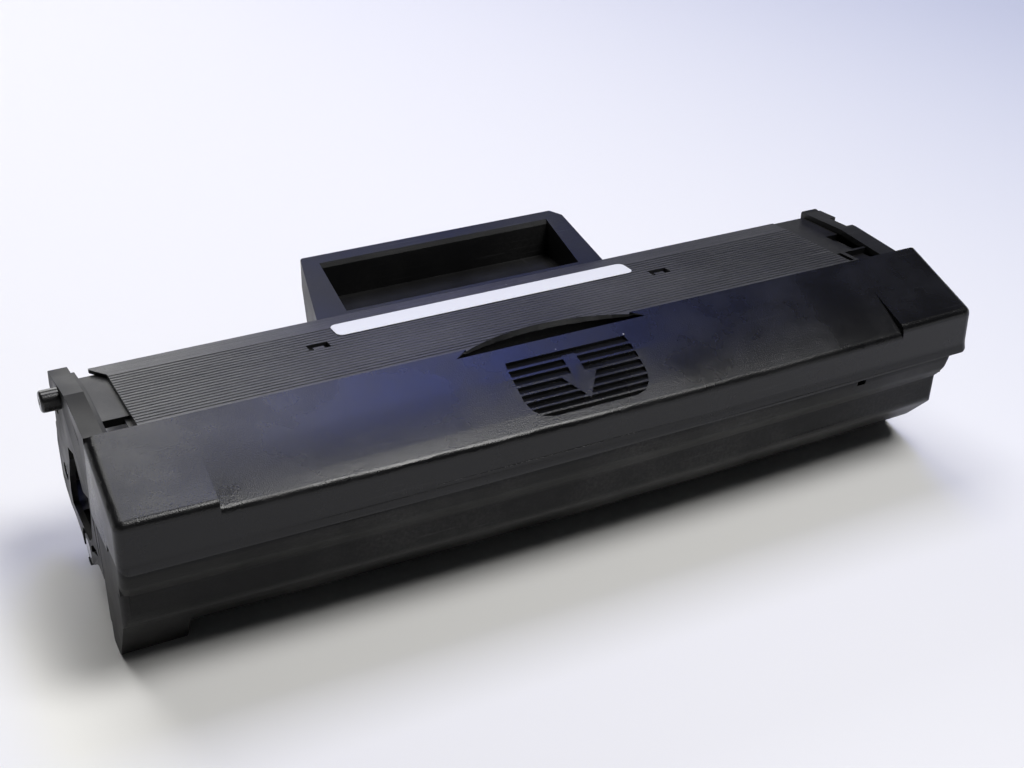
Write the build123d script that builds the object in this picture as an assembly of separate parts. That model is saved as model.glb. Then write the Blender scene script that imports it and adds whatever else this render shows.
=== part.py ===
from build123d import *
import math
import os

os.makedirs("parts", exist_ok=True)

# Sizes in millimetres. The local frame has X = 0 at the middle of the hood, Y = 0 at the lip of its
# front and Z = 0 on the floor; PLACE moves it so that the origin is the middle of the bounding box's floor.

# Overall
HALF = 138.0
PIN_OUT = 5.5
HANDLE_BACK = 104.0
HOOD_BOW = 1.7
LIP_FLARE = 0.6
LEFT_LIP_OUT = 0.8
RIGHT_LIP_OUT = 2.4
END_RAKE = 0.033
LIP_CORNER_R = 3.4
PLACE = Vector((PIN_OUT - RIGHT_LIP_OUT + END_RAKE * LIP_CORNER_R) / 2,
               (HOOD_BOW + LIP_FLARE - HANDLE_BACK) / 2, 0)

# Hood
HOOD_BACK_Y = 30.0
HOOD_BACK_Z = 67.9
HOOD_FRONT_Y = 0.4
HOOD_FRONT_Z = 58.7
LIP_Z = 43.5
HOOD_REST_Z = 58.0
HOOD_WALL = 2.2
FRONT_EDGE_R = 3.0
HOOD_END_R = 3.0
LIP_COVE_R = 5.0
RIGHT_END_SKEW = 0.02
SCOOP_HALF = HALF - 27.0
SCOOP_BACK_Y = 16.0
SCOOP_FOLD_Y = 4.4
SCOOP_FOLD_DROP = 1.5
SCOOP_FRONT_SLOPE = 0.5

# Grip pad, arrow and thumb recess
PAD_X = 1.1
PAD_HALF = 20.4
PAD_BACK_Y = 22.0
PAD_FRONT_Y = 2.2
PAD_PITCH = 3.2
PAD_PITCH_STEP = 0.18
PAD_ROWS = 8
PAD_LAND = 0.75
PAD_DEPTH = 1.1
ARROW_X = 0.9
ARROW_SHAFT = 4.5
ARROW_HEAD = 11.8
ARROW_BACK_Y = 20.0
ARROW_HEAD_Y = 13.1
ARROW_TIP_Y = 5.0
THUMB_HALF = 31.6
THUMB_CHORD_Y = 27.4
THUMB_ARC_Y = 37.3
THUMB_FLOOR_Z = 60.5
THUMB_SKIN = 1.3
THUMB_RIM = 2.2

# Top plate
PLATE_REF_Y = 35.0
PLATE_REF_Z = 66.6
PLATE_FALL = 0.1175
PLATE_X0 = -(HALF - 14.7)
PLATE_X1 = HALF - 25.2
PLATE_FRONT_Y = 30.15
RIBS_BACK_Y = 67.6
BODY_BACK_Y = 74.4
PLATE_THICK = 2.4
RIB_PITCH = 1.72
RIB_GAP = 0.72
RIB_DEPTH = 0.16
MARGIN_DROP = 0.25
MARGIN_TIP_X = PLATE_X0 - 3.9
MARGIN_TIP_Y = 73.4
CLIP_X = (-63.6, 54.0)
CLIP_Y = 55.3
CLIP_SIZE = (6.6, 4.2)
LABEL_X = (-56.0, 46.6)
LABEL_Y = (58.9, 67.5)
LABEL_R = 2.2
LABEL_THICK = 0.22

# Ledges beside the ribs
LEDGE_DROP = 1.5
LEDGE_THICK = 2.4
LEDGE_X0 = -(HALF - 6.8)
LEDGE_FRONT_Y = 41.0
LEDGE_BACK_Y = 71.8

# Hopper
BAND_TOP = 47.5
STEP_Z = 29.7
STEP_BOW = 2.6
HOPPER_REAR_Y = 35.6
HOPPER_FLOOR = 6.5
HOPPER_END_R = 2.6
FOOT_WIDTH = 19.0
LEFT_FOOT_BACK_Y = 28.0
RIGHT_FOOT_BACK_Y = 35.0
END_WALL_OUT = HALF - 13.2
END_WALL = 2.2
END_WALL_IN = END_WALL_OUT - END_WALL
VENT_AT = (99.8, 39.8)
VENT_SIZE = (3.3, 2.3)

# Roller train, as (y, z) of each axis
DRUM = (51.5, 16.0)
DRUM_R = 12.0
GEAR_MODULE = 0.7
DRUM_TEETH = 35
DEV_TEETH = 16
SUPPLY_TEETH = 18
IDLER_TEETH = 24
AGIT_TEETH = 26
SLEEVE_GAP = 0.05
SUPPLY_R = 6.0
CHARGE_R = 4.5
GEAR_WIDTH = 4.9
GEAR_X1 = -(END_WALL_OUT + 0.8)
GEAR_X0 = GEAR_X1 - GEAR_WIDTH
RUN_CLEAR = 0.05


def polar(start, reach, degrees):
    a = math.radians(degrees)
    return (start[0] + reach * math.cos(a), start[1] + reach * math.sin(a))


def mesh_reach(teeth_a, teeth_b):
    return GEAR_MODULE * (teeth_a + teeth_b) / 2


DEV_ANGLE = 160.0
SUPPLY_ANGLE = 205.0
IDLER_ANGLE = 100.0
AGIT_ANGLE = 100.0
DEV = polar(DRUM, mesh_reach(DRUM_TEETH, DEV_TEETH), DEV_ANGLE)
DEV_R = mesh_reach(DRUM_TEETH, DEV_TEETH) - DRUM_R - SLEEVE_GAP
SUPPLY = polar(DEV, mesh_reach(DEV_TEETH, SUPPLY_TEETH), SUPPLY_ANGLE)
IDLER = polar(SUPPLY, mesh_reach(SUPPLY_TEETH, IDLER_TEETH), IDLER_ANGLE)
AGIT = polar(IDLER, mesh_reach(IDLER_TEETH, AGIT_TEETH), AGIT_ANGLE)
CHARGE = polar(DRUM, DRUM_R + CHARGE_R + 0.06, 95.0)

DRUM_AXLE_R = 3.0
DEV_SHAFT_R = 3.0
SUPPLY_SHAFT_R = 2.5
AGIT_SHAFT_R = 3.0
IDLER_PIN_R = 2.0
CHARGE_SHAFT_R = 2.5
BLOCK_TOP = 4.4

# Half lengths of what lies between the end walls
TUBE_HALF = END_WALL_OUT - 3.2
SPIGOT = 7.6
AXLE_IN = TUBE_HALF - 9.6
SLEEVE_HALF = END_WALL_IN - 3.6
FOAM_HALF = END_WALL_IN - 5.6
DOCTOR_HALF = END_WALL_IN - 5.6
CHARGE_HALF = END_WALL_IN - 9.6
CHARGE_SHAFT_HALF = END_WALL_IN - 2.0
CHARGE_BLOCK_X = (END_WALL_IN - 7.2, END_WALL_IN - 2.6)
WIPER_HALF = END_WALL_IN - 6.6
SEAL_X = (END_WALL_IN - 6.0, END_WALL_IN - 2.0)
PADDLE_HALF = END_WALL_IN - 3.6
SKID_COUNT = 12
SKID_REACH = END_WALL_IN - 12.6

# End caps
CAP_SKIN = 1.8
CAP_WALL = 2.0
CAP_RIM_X = -(HALF - 5.4)
LINER_GAP = 0.05
LINER_THICK = 1.25
LINER_X = (CAP_RIM_X + LINER_GAP, CAP_RIM_X + LINER_GAP + LINER_THICK)
RIGHT_CAP_X0 = END_WALL_OUT + 0.7
RIGHT_CAP_X1 = HALF - 6.0
RIGHT_LEDGE_X1 = RIGHT_CAP_X0 - 0.1
BOSS_END = END_WALL_IN - 1.8
LEFT_TIP = -(END_WALL_OUT - 0.8)
PIN_AT = (62.0, 61.7)
PIN_R = 3.25
CAP_OUTLINE = [(30.0, 67.6), (53.0, 67.6), (77.5, 62.2), (78.5, 57.0), (75.2, 50.0), (76.2, 45.5),
               (78.4, 44.5), (78.0, 42.0), (80.5, 36.0),
               (80.5, 23.5), (78.0, 20.5), (73.0, 18.0), (66.0, 17.6), (60.0, 16.0), (55.0, 11.5),
               (54.0, 9.4),
               (51.5, 9.4), (41.0, 18.0), (36.0, 21.0), (30.0, 20.5)]
WINDOW_OUTLINE = [(60.5, 46.0), (52.0, 49.0), (47.5, 44.0), (44.4, 41.0), (36.5, 44.0), (36.5, 39.0),
                  (39.0, 33.0),
                  (40.5, 27.5), (46.0, 22.6), (56.0, 22.0), (68.0, 21.5), (68.3, 26.0), (66.5, 32.0),
                  (61.5, 41.0)]

# Drum frame
FRAME_WALL = 2.2
FRAME_BELLY_Z = 42.0
WIPER_WALL_Y = 66.4

# Handle
HANDLE_NEAR_X = (-57.3, 43.7)
HANDLE_FAR_X = (-52.2, 41.7)
HANDLE_LEFT_CORNER = 1.5
HANDLE_RIGHT_CORNER = 4.2
HANDLE_TOP_FAR = 68.5
TROUGH_X = (-47.0, 35.2)
TROUGH_Y = (75.6, 98.3)
TROUGH_FLOOR = 54.6


def plate_z(y):
    """Height of the top plate's plane."""
    return PLATE_REF_Z - PLATE_FALL * (y - PLATE_REF_Y)


def hood_z(y):
    """Height of the hood's sloping top."""
    k = (HOOD_BACK_Z - HOOD_FRONT_Z) / (HOOD_BACK_Y - HOOD_FRONT_Y)
    return HOOD_FRONT_Z + k * (y - HOOD_FRONT_Y)


def scooped_z(y):
    """Height of the hood's top inside the scoop."""
    fall = SCOOP_FOLD_DROP / (SCOOP_BACK_Y - SCOOP_FOLD_Y)
    return hood_z(y) - max(0.0, SCOOP_BACK_Y - y) * fall


def wire_at(x, points, radii=None):
    """Closed outline in the plane of one X, with some corners rounded."""
    radii = radii or {}
    n = len(points)
    stops = []
    for i, p in enumerate(points):
        r = radii.get(i, 0)
        here = Vector(x, p[0], p[1])
        if r == 0:
            stops.append((here, None, here))
            continue
        a = Vector(x, *points[i - 1]) - here
        b = Vector(x, *points[(i + 1) % n]) - here
        ua = a.normalized()
        ub = b.normalized()
        half = math.acos(max(-1, min(1, ua.dot(ub)))) / 2
        cut = r / math.tan(half)
        mid = here + (ua + ub).normalized() * (r / math.sin(half) - r)
        stops.append((here + ua * cut, mid, here + ub * cut))
    edges = []
    for i, (start, mid, end) in enumerate(stops):
        if mid is not None:
            edges.append(Edge.make_three_point_arc(start, mid, end))
        edges.append(Edge.make_line(end, stops[(i + 1) % n][0]))
    return Wire(edges)


def prism(points, x0, x1, radii=None):
    """Outline in Y and Z carried along X."""
    return Solid.extrude(Face(wire_at(x0, points, radii)), Vector(x1 - x0, 0, 0))


def inset(points, wall):
    """Outline moved inward by the wall's thickness, corner by corner."""
    n = len(points)
    turn = sum(points[i - 1][0] * points[i][1] - points[i][0] * points[i - 1][1] for i in range(n))
    side = 1 if turn > 0 else -1
    out = []
    for i in range(n):
        (ay, az), (by, bz), (cy, cz) = points[i - 1], points[i], points[(i + 1) % n]
        la, lb = math.hypot(by - ay, bz - az), math.hypot(cy - by, cz - bz)
        na = (-side * (bz - az) / la, side * (by - ay) / la)
        nb = (-side * (cz - bz) / lb, side * (cy - by) / lb)
        k = wall / (1 + na[0] * nb[0] + na[1] * nb[1])
        out.append((by + (na[0] + nb[0]) * k, bz + (na[1] + nb[1]) * k))
    return out


def bowed(ends, middle, radii=None, reach=HALF):
    """Outline that runs the whole length and swells to a second outline at mid-length."""
    wires = [wire_at(-reach, ends, radii), wire_at(0, middle, radii), wire_at(reach, ends, radii)]
    return Solid.make_loft(wires)


def block(x0, x1, y0, y1, z0, z1):
    return Pos((x0 + x1) / 2, (y0 + y1) / 2, (z0 + z1) / 2) * Box(x1 - x0, y1 - y0, z1 - z0)


def rod(axis, r, x0, x1):
    """Cylinder along X."""
    return Pos((x0 + x1) / 2, axis[0], axis[1]) * Rot(0, 90, 0) * Cylinder(r, x1 - x0)


def tube(axis, r_out, r_in, x0, x1):
    return rod(axis, r_out, x0, x1) - rod(axis, r_in, x0 - 1, x1 + 1)


def upright(points, z0, z1):
    """Outline in X and Y carried up Z."""
    edges = [Edge.make_line(Vector(*points[i], z0), Vector(*points[(i + 1) % len(points)], z0))
             for i in range(len(points))]
    return Solid.extrude(Face(Wire(edges)), Vector(0, 0, z1 - z0))


def gear(axis, teeth, x0, x1, bore, turn=0.0, backlash=0.12):
    """Spur gear with straight-sided teeth and some backlash; turn is the angle of one tooth's middle."""
    rp = GEAR_MODULE * teeth / 2
    r_tip = rp + 0.9 * GEAR_MODULE
    r_root = rp - 1.2 * GEAR_MODULE
    half_pitch = math.pi / teeth / 2 - backlash / 2 / rp
    half_tip = half_pitch * 0.46
    half_root = half_pitch * 1.62
    points = []
    for i in range(teeth):
        c = math.radians(turn) + i * 2 * math.pi / teeth
        for r, a in ((r_root, -half_root), (rp, -half_pitch), (r_tip, -half_tip), (r_tip, half_tip),
                     (rp, half_pitch), (r_root, half_root)):
            points.append((axis[0] + r * math.cos(c + a), axis[1] + r * math.sin(c + a)))
    return prism(points, x0, x1) - rod(axis, bore, x0 - 1, x1 + 1)


def facing(start, end):
    return math.degrees(math.atan2(end[1] - start[1], end[0] - start[0]))


def follower_turn(centre, centre_turn, centre_teeth, other, other_teeth):
    """Angle of a tooth's middle on the other gear, so that its gap takes the first gear's tooth."""
    line = facing(centre, other)
    phase = ((line - centre_turn) / (360.0 / centre_teeth)) % 1.0
    back = facing(other, centre)
    return back + (phase - 0.5) * 360.0 / other_teeth


def front_hood():
    front = [(-LIP_FLARE, LIP_Z), (-LIP_FLARE, LIP_Z + 0.8), (0.0, LIP_Z + 3.0),
             (HOOD_FRONT_Y, HOOD_FRONT_Z), (HOOD_BACK_Y, HOOD_BACK_Z), (HOOD_BACK_Y, LIP_Z)]
    mid = [(y - HOOD_BOW if i < 4 else y, z) for i, (y, z) in enumerate(front)]
    mid[3] = (HOOD_FRONT_Y - HOOD_BOW, hood_z(HOOD_FRONT_Y - HOOD_BOW))
    hood = bowed(front, mid, {2: LIP_COVE_R}, HALF + 5.0)
    hood -= beyond_end(-1, LEFT_LIP_OUT, 0.0)
    hood -= beyond_end(1, RIGHT_LIP_OUT, RIGHT_END_SKEW)
    # the bowl between both ends, with a fold
    fold_z = hood_z(SCOOP_FOLD_Y) - SCOOP_FOLD_DROP
    front_z = fold_z - SCOOP_FRONT_SLOPE * (SCOOP_FOLD_Y + 6.0)
    scoop = [(SCOOP_BACK_Y, hood_z(SCOOP_BACK_Y)), (SCOOP_FOLD_Y, fold_z), (-6.0, front_z), (-6.0, 75.0),
             (SCOOP_BACK_Y, 75.0)]
    hood -= prism(scoop, -SCOOP_HALF, SCOOP_HALF)
    hood = fillet([e for e in hood.edges() if e.center().Y < 2.0 and 54.0 < e.center().Z < 60.0
                   and e.length > 10.0], FRONT_EDGE_R)
    tips = [f for f in hood.faces() if abs(f.normal_at().X) > 0.95 and abs(f.center().X) > HALF - 3.0]
    hood = fillet([e for f in tips for e in f.edges() if e.center().Z > LIP_Z + 0.2
                   and e.center().Y < HOOD_BACK_Y - 0.5], HOOD_END_R)
    # the lip's lower corners
    for side, lip_out in ((-1, LEFT_LIP_OUT), (1, RIGHT_LIP_OUT)):
        tip = HALF + lip_out + 0.1
        x0, x1 = sorted((side * (tip - LIP_CORNER_R), side * (tip + 2.0)))
        corner = block(x0, x1, -6.0, 12.0, LIP_Z - 1.0, LIP_Z + LIP_CORNER_R)
        rounding = Pos(side * (tip - LIP_CORNER_R), 3.0, LIP_Z + LIP_CORNER_R) * Rot(90, 0, 0)
        corner -= rounding * Cylinder(LIP_CORNER_R, 30.0)
        hood -= corner
    # hollow underside; the hopper closes it
    inner_top = [(HOOD_WALL, LIP_Z - 1), (HOOD_WALL, hood_z(HOOD_WALL) - HOOD_WALL - 3.2),
                 (SCOOP_FOLD_Y + 2.5, hood_z(SCOOP_FOLD_Y) - HOOD_WALL - 0.8),
                 (HOOD_BACK_Y - HOOD_WALL, hood_z(HOOD_BACK_Y - HOOD_WALL) - HOOD_WALL - 0.4),
                 (HOOD_BACK_Y - HOOD_WALL, LIP_Z - 1)]
    hood -= prism(inner_top, -HALF + HOOD_WALL, HALF - HOOD_WALL)
    hood -= block(-HALF + HOOD_WALL, HALF - HOOD_WALL, 20.0, HOOD_BACK_Y + 1, LIP_Z - 1, HOOD_REST_Z)
    hood += block(-THUMB_BLOCK, THUMB_BLOCK, THUMB_CHORD_Y - THUMB_RIM, HOOD_BACK_Y,
                  THUMB_FLOOR_Z - THUMB_SKIN, hood_z(THUMB_CHORD_Y - THUMB_RIM) - 1.0)
    hood -= thumb_lens()
    hood -= grip_grooves()
    return hood


THUMB_BLOCK = THUMB_HALF + THUMB_RIM


def beyond_end(side, lip_out, skew):
    """All that lies beyond the hood's raked end; the lip stands out furthest."""
    def end_x(y, z):
        return side * (HALF + lip_out - skew * y - END_RAKE * (z - LIP_Z))
    around = ((-20.0, 30.0), (50.0, 30.0), (50.0, 90.0), (-20.0, 90.0))
    corners = [Vector(end_x(y, z), y, z) for y, z in around]
    edges = [Edge.make_line(corners[i - 1], corners[i]) for i in range(4)]
    return Solid.extrude(Face(Wire(edges)), Vector(side * 20.0, 0, 0))


def thumb_lens():
    """Lens-shaped thumb recess, cut down into hood and top plate as far as its floor."""
    ends = [Vector(s * THUMB_HALF, THUMB_CHORD_Y, THUMB_FLOOR_Z) for s in (-1, 1)]
    chord = Edge.make_line(ends[0], ends[1])
    arc = Edge.make_three_point_arc(ends[1], Vector(0, THUMB_ARC_Y, THUMB_FLOOR_Z), ends[0])
    return Solid.extrude(Face(Wire([chord, arc])), Vector(0, 0, 12.0))


def grip_grooves():
    """Rows of saw-toothed grooves inside a shield outline, with a plain arrow left standing."""
    rows = None
    y1 = PAD_BACK_Y
    for i in range(PAD_ROWS):
        pitch = PAD_PITCH - i * PAD_PITCH_STEP
        y0 = y1 - pitch + PAD_LAND * pitch / PAD_PITCH
        profile = [(y1, hood_z(y1) + 3), (y1, scooped_z(y1) - PAD_DEPTH), (y0, scooped_z(y0) - 0.2),
                   (y0, hood_z(y0) + 3)]
        cut = prism(profile, PAD_X - PAD_HALF - 2, PAD_X + PAD_HALF + 2)
        rows = cut if rows is None else rows + cut
        y1 -= pitch
    side = [(PAD_HALF - 0.6, PAD_BACK_Y + 1), (PAD_HALF, 18.0), (PAD_HALF, 8.5), (PAD_HALF - 1.1, 5.4),
            (PAD_HALF - 3.2, 3.2), (PAD_HALF - 6.6, PAD_FRONT_Y)]
    outline = [(PAD_X - x, y) for x, y in side] + [(PAD_X + x, y) for x, y in reversed(side)]
    rows = rows & upright(outline, 40.0, 80.0)
    half, head = ARROW_SHAFT / 2, ARROW_HEAD / 2
    arrow = [(-half, ARROW_BACK_Y), (-half, ARROW_HEAD_Y), (-head, ARROW_HEAD_Y), (0, ARROW_TIP_Y),
             (head, ARROW_HEAD_Y), (half, ARROW_HEAD_Y), (half, ARROW_BACK_Y)]
    return rows - upright([(ARROW_X + x, y) for x, y in arrow], 40.0, 80.0)


def toner_hopper():
    out = [(3.3, BAND_TOP), (3.3, 39.5), (4.5, 35.0), (7.4, 30.6), (7.4, STEP_Z), (8.2, STEP_Z),
           (8.2, 20.5), (20.0, HOPPER_FLOOR),
           (HOPPER_REAR_Y - 4.0, HOPPER_FLOOR), (HOPPER_REAR_Y - 4.0, BAND_TOP)]
    bow = [HOOD_BOW, 1.9, 2.2, STEP_BOW, STEP_BOW, STEP_BOW, STEP_BOW, STEP_BOW, 0, 0]
    mid = [(y - b, z) for (y, z), b in zip(out, bow)]
    hull = bowed(out, mid, {1: 6.0, 2: 5.0, 6: 5.0, 7: 5.0})
    tips = [f for f in hull.faces() if abs(f.normal_at().X) > 0.95 and abs(f.center().X) > HALF - 0.5]
    hull = fillet([e for f in tips for e in f.edges() if e.center().Y < 7.0
                   and STEP_Z + 1.0 < e.center().Z < BAND_TOP - 0.5], HOPPER_END_R)
    # feet at both ends; the right one stands further back
    foot = [(7.38, 30.9), (7.7, 22.5), (19.5, 1.6), (21.0, 0.0), (LEFT_FOOT_BACK_Y, 0.0),
            (LEFT_FOOT_BACK_Y, 20.0), (14.0, 30.9)]
    hull += prism(foot, -HALF, -HALF + FOOT_WIDTH, {1: 5.0, 2: 6.0, 4: 1.0})
    foot = [(9.6, 19.0), (15.5, 12.8), (27.6, 1.4), (29.2, 0.0), (RIGHT_FOOT_BACK_Y, 0.0),
            (RIGHT_FOOT_BACK_Y, 6.6), (31.5, 7.6), (26.0, 19.0)]
    hull += prism(foot, HALF - FOOT_WIDTH, HALF, {1: 8.0})
    for s, y in ((-1, 7.7), (1, 8.2)):
        x0, x1 = sorted((s * (HALF - HOPPER_END_R), s * (HALF + 1)))
        corner = block(x0, x1, y - 2.0, y + HOPPER_END_R, 8.0, 31.4)
        rounding = Pos(s * (HALF - HOPPER_END_R), y + HOPPER_END_R, 20.0)
        hull -= corner - rounding * Cylinder(HOPPER_END_R, 40.0)
    # the ends outside the end walls are open at the rear for the gears, closed by a skin at the tip
    skin = 2.3
    for s in (-1, 1):
        x0, x1 = sorted((s * (END_WALL_OUT + 0.0), s * (HALF - skin)))
        hull -= prism([(6.0, BAND_TOP + 1), (6.0, 40.0), (10.6, 33.0), (10.6, 21.5), (20.6, 7.7),
                       (HOPPER_REAR_Y, 7.7), (HOPPER_REAR_Y, BAND_TOP + 1)], x0, x1)
        x0, x1 = sorted((s * (HALF - skin - 0.5), s * (HALF + 1)))
        hull -= prism([(29.4, HOPPER_FLOOR - 1), (29.4, BAND_TOP + 1), (40.0, BAND_TOP + 1),
                       (40.0, HOPPER_FLOOR - 1)], x0, x1)
    # rear and top walls of the chamber between the end walls
    rear = [(30.6, 28.0), (30.6, 64.6), (33.0, 64.3), (33.0, 44.0), (HOPPER_REAR_Y, 43.0),
            (HOPPER_REAR_Y, 28.4), (34.2, 28.4)]
    hull += prism(rear, -END_WALL_OUT, END_WALL_OUT)
    hull += block(-END_WALL_OUT, END_WALL_OUT, HOOD_BACK_Y - HOOD_WALL, 31.0, HOOD_REST_Z - 1.6,
                  HOOD_REST_Z)
    # chamber for toner and trough for the rollers
    chamber = [(6.2, BAND_TOP + 14), (6.2, 40.0), (10.8, 32.0), (10.8, 21.8), (18.4, 8.7), (36.0, 8.7),
               (36.0, 26.2), (33.2, 26.2), (32.6, 29.0), (30.6, 31.0), (30.6, BAND_TOP + 14)]
    hull -= prism(chamber, -END_WALL_IN, END_WALL_IN)
    # end walls carry the shafts up to the hood
    wall = [(5.4, 40.0), (5.4, 54.0), (8.0, 57.2), (27.6, 63.2), (27.6, HOOD_REST_Z),
            (HOOD_BACK_Y + 0.6, HOOD_REST_Z), (HOOD_BACK_Y + 0.6, 64.6), (33.0, 64.3), (33.0, 44.0),
            (HOPPER_REAR_Y, 43.0), (42.0, 27.0), (42.0, 20.0), (40.0, 12.0), (36.0, HOPPER_FLOOR),
            (20.0, HOPPER_FLOOR), (9.5, 20.0), (9.5, 33.0)]
    for s in (-1, 1):
        x0, x1 = sorted((s * END_WALL_IN, s * END_WALL_OUT))
        hull += prism(wall, x0, x1)
    # lower lip under the supply and developer rollers
    lip = [(29.4, HOPPER_FLOOR), (34.5, HOPPER_FLOOR), (40.2, 9.6), (40.2, 11.2), (38.6, 11.2), (33.9, 8.7),
           (29.4, 8.7)]
    hull += prism(lip, -END_WALL_OUT, END_WALL_OUT)
    # the neighbours keep their room: the drum, and holes for bushes
    hull -= rod(DRUM, DRUM_R + 1.2, -HALF, HALF)
    for axis, r in ((DEV, 5.0), (SUPPLY, 4.5), (AGIT, 5.0)):
        hull -= rod(axis, r, -END_WALL_OUT - 1, END_WALL_OUT + 1)
    hull -= rod(IDLER, IDLER_PIN_R, -END_WALL_OUT - 1, -END_WALL_IN + 0.0)
    hull += rod(IDLER, 4.4, -END_WALL_IN, -END_WALL_IN + 2.2)
    # the hood's skirt takes the outside above the lip
    hull -= block(-HALF, HALF, -6.0, HOOD_WALL + 0.1, LIP_Z, BAND_TOP + 1)
    for s in (-1, 1):
        x0, x1 = sorted((s * (HALF - HOOD_WALL - 0.1), s * (HALF + 1)))
        hull -= block(x0, x1, -6.0, 40.0, LIP_Z, BAND_TOP + 1)
    # room for the thumb recess, and a small blind vent in the band
    hull -= block(-THUMB_BLOCK - 0.1, THUMB_BLOCK + 0.1, HOOD_BACK_Y, 33.5,
                  THUMB_FLOOR_Z - THUMB_SKIN - 0.1, 70.0)
    x, z = VENT_AT
    w, h = VENT_SIZE
    hull -= block(x - w / 2, x + w / 2, -6.0, 4.6, z - h / 2, z + h / 2)
    # threads of the doctor screws
    for x in DOCTOR_SCREW_X:
        hull -= Pos(x, HOPPER_REAR_Y, DOCTOR_SCREW_Z) * Rot(90, 0, 0) * Cylinder(DOCTOR_SCREW_R, 4.2)
    # fill port in the right end wall
    hull -= rod(FILL_AT, FILL_R, END_WALL_IN - 1, END_WALL_OUT + 1)
    return hull


FILL_AT = (21.0, 31.5)
FILL_R = 6.5


def fill_plug():
    body = rod(FILL_AT, FILL_R, END_WALL_IN - 0.6, END_WALL_OUT)
    head = rod(FILL_AT, FILL_R + 1.6, END_WALL_OUT, END_WALL_OUT + 1.4)
    plug = body + head - rod(FILL_AT, FILL_R - 1.8, END_WALL_OUT - 1.0, END_WALL_OUT + 2)
    plug += block(END_WALL_OUT - 1.0, END_WALL_OUT + 1.2, FILL_AT[0] - FILL_R + 1.0,
                  FILL_AT[0] + FILL_R - 1.0, FILL_AT[1] - 0.6, FILL_AT[1] + 0.6)
    return plug


def ribbed_top_cover():
    def slab(y0, y1, up, down):
        return [(y0, plate_z(y0) + up), (y0, plate_z(y0) - down), (y1, plate_z(y1) - down),
                (y1, plate_z(y1) + up)]
    cover = prism(slab(PLATE_FRONT_Y, BODY_BACK_Y, 0.0, PLATE_THICK), PLATE_X0, PLATE_X1)
    n = int((RIBS_BACK_Y - PLATE_FRONT_Y) / RIB_PITCH)
    grooves = None
    for i in range(n):
        y = RIBS_BACK_Y - i * RIB_PITCH
        g = prism(slab(y - RIB_GAP, y, 2.0, RIB_DEPTH), PLATE_X0 - 1, PLATE_X1 + 1)
        grooves = g if grooves is None else grooves + g
    cover -= grooves
    cover -= prism(slab(RIBS_BACK_Y, BODY_BACK_Y + 1, 2.0, MARGIN_DROP), PLATE_X0 - 1, PLATE_X1 + 1)
    # the plain rear margin runs on over the left ledge and ends on the slant
    strip = prism(slab(RIBS_BACK_Y, BODY_BACK_Y, -MARGIN_DROP, LEDGE_DROP - 0.02), MARGIN_TIP_X,
                  PLATE_X0 + 0.5)
    tip = [(PLATE_X0 + 1, RIBS_BACK_Y - 1), (PLATE_X0 + 1, BODY_BACK_Y + 1),
           (MARGIN_TIP_X, BODY_BACK_Y + 1), (MARGIN_TIP_X, MARGIN_TIP_Y), (PLATE_X0, RIBS_BACK_Y),
           (PLATE_X0, RIBS_BACK_Y - 1)]
    cover += strip & upright(tip, 50.0, 80.0)
    w, d = CLIP_SIZE
    for x in CLIP_X:
        cover -= prism(slab(CLIP_Y - d / 2, CLIP_Y + d / 2, 2.0, 1.7), x - w / 2, x + w / 2)
        cover += prism(slab(CLIP_Y - 0.9, CLIP_Y + 0.7, -0.5, 1.8), x - w / 2 + 1.6, x + w / 2 - 1.6)
    # pocket of the thumb recess
    cover += block(-THUMB_BLOCK, THUMB_BLOCK, PLATE_FRONT_Y, THUMB_ARC_Y + THUMB_RIM - 0.5,
                   THUMB_FLOOR_Z - THUMB_SKIN, plate_z(THUMB_ARC_Y + THUMB_RIM) - 1.0)
    cover -= thumb_lens()
    return cover


def label():
    y0, y1 = LABEL_Y
    body = upright([(LABEL_X[0], y0), (LABEL_X[1], y0), (LABEL_X[1], y1), (LABEL_X[0], y1)], 50.0, 75.0)
    body = fillet([e for e in body.edges() if abs(e.tangent_at(0.5).Z) > 0.9], LABEL_R)
    slab = prism([(y0 - 1, plate_z(y0 - 1)), (y1 + 1, plate_z(y1 + 1)),
                  (y1 + 1, plate_z(y1 + 1) + LABEL_THICK), (y0 - 1, plate_z(y0 - 1) + LABEL_THICK)],
                 LABEL_X[0] - 1, LABEL_X[1] + 1)
    return body & slab


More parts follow.
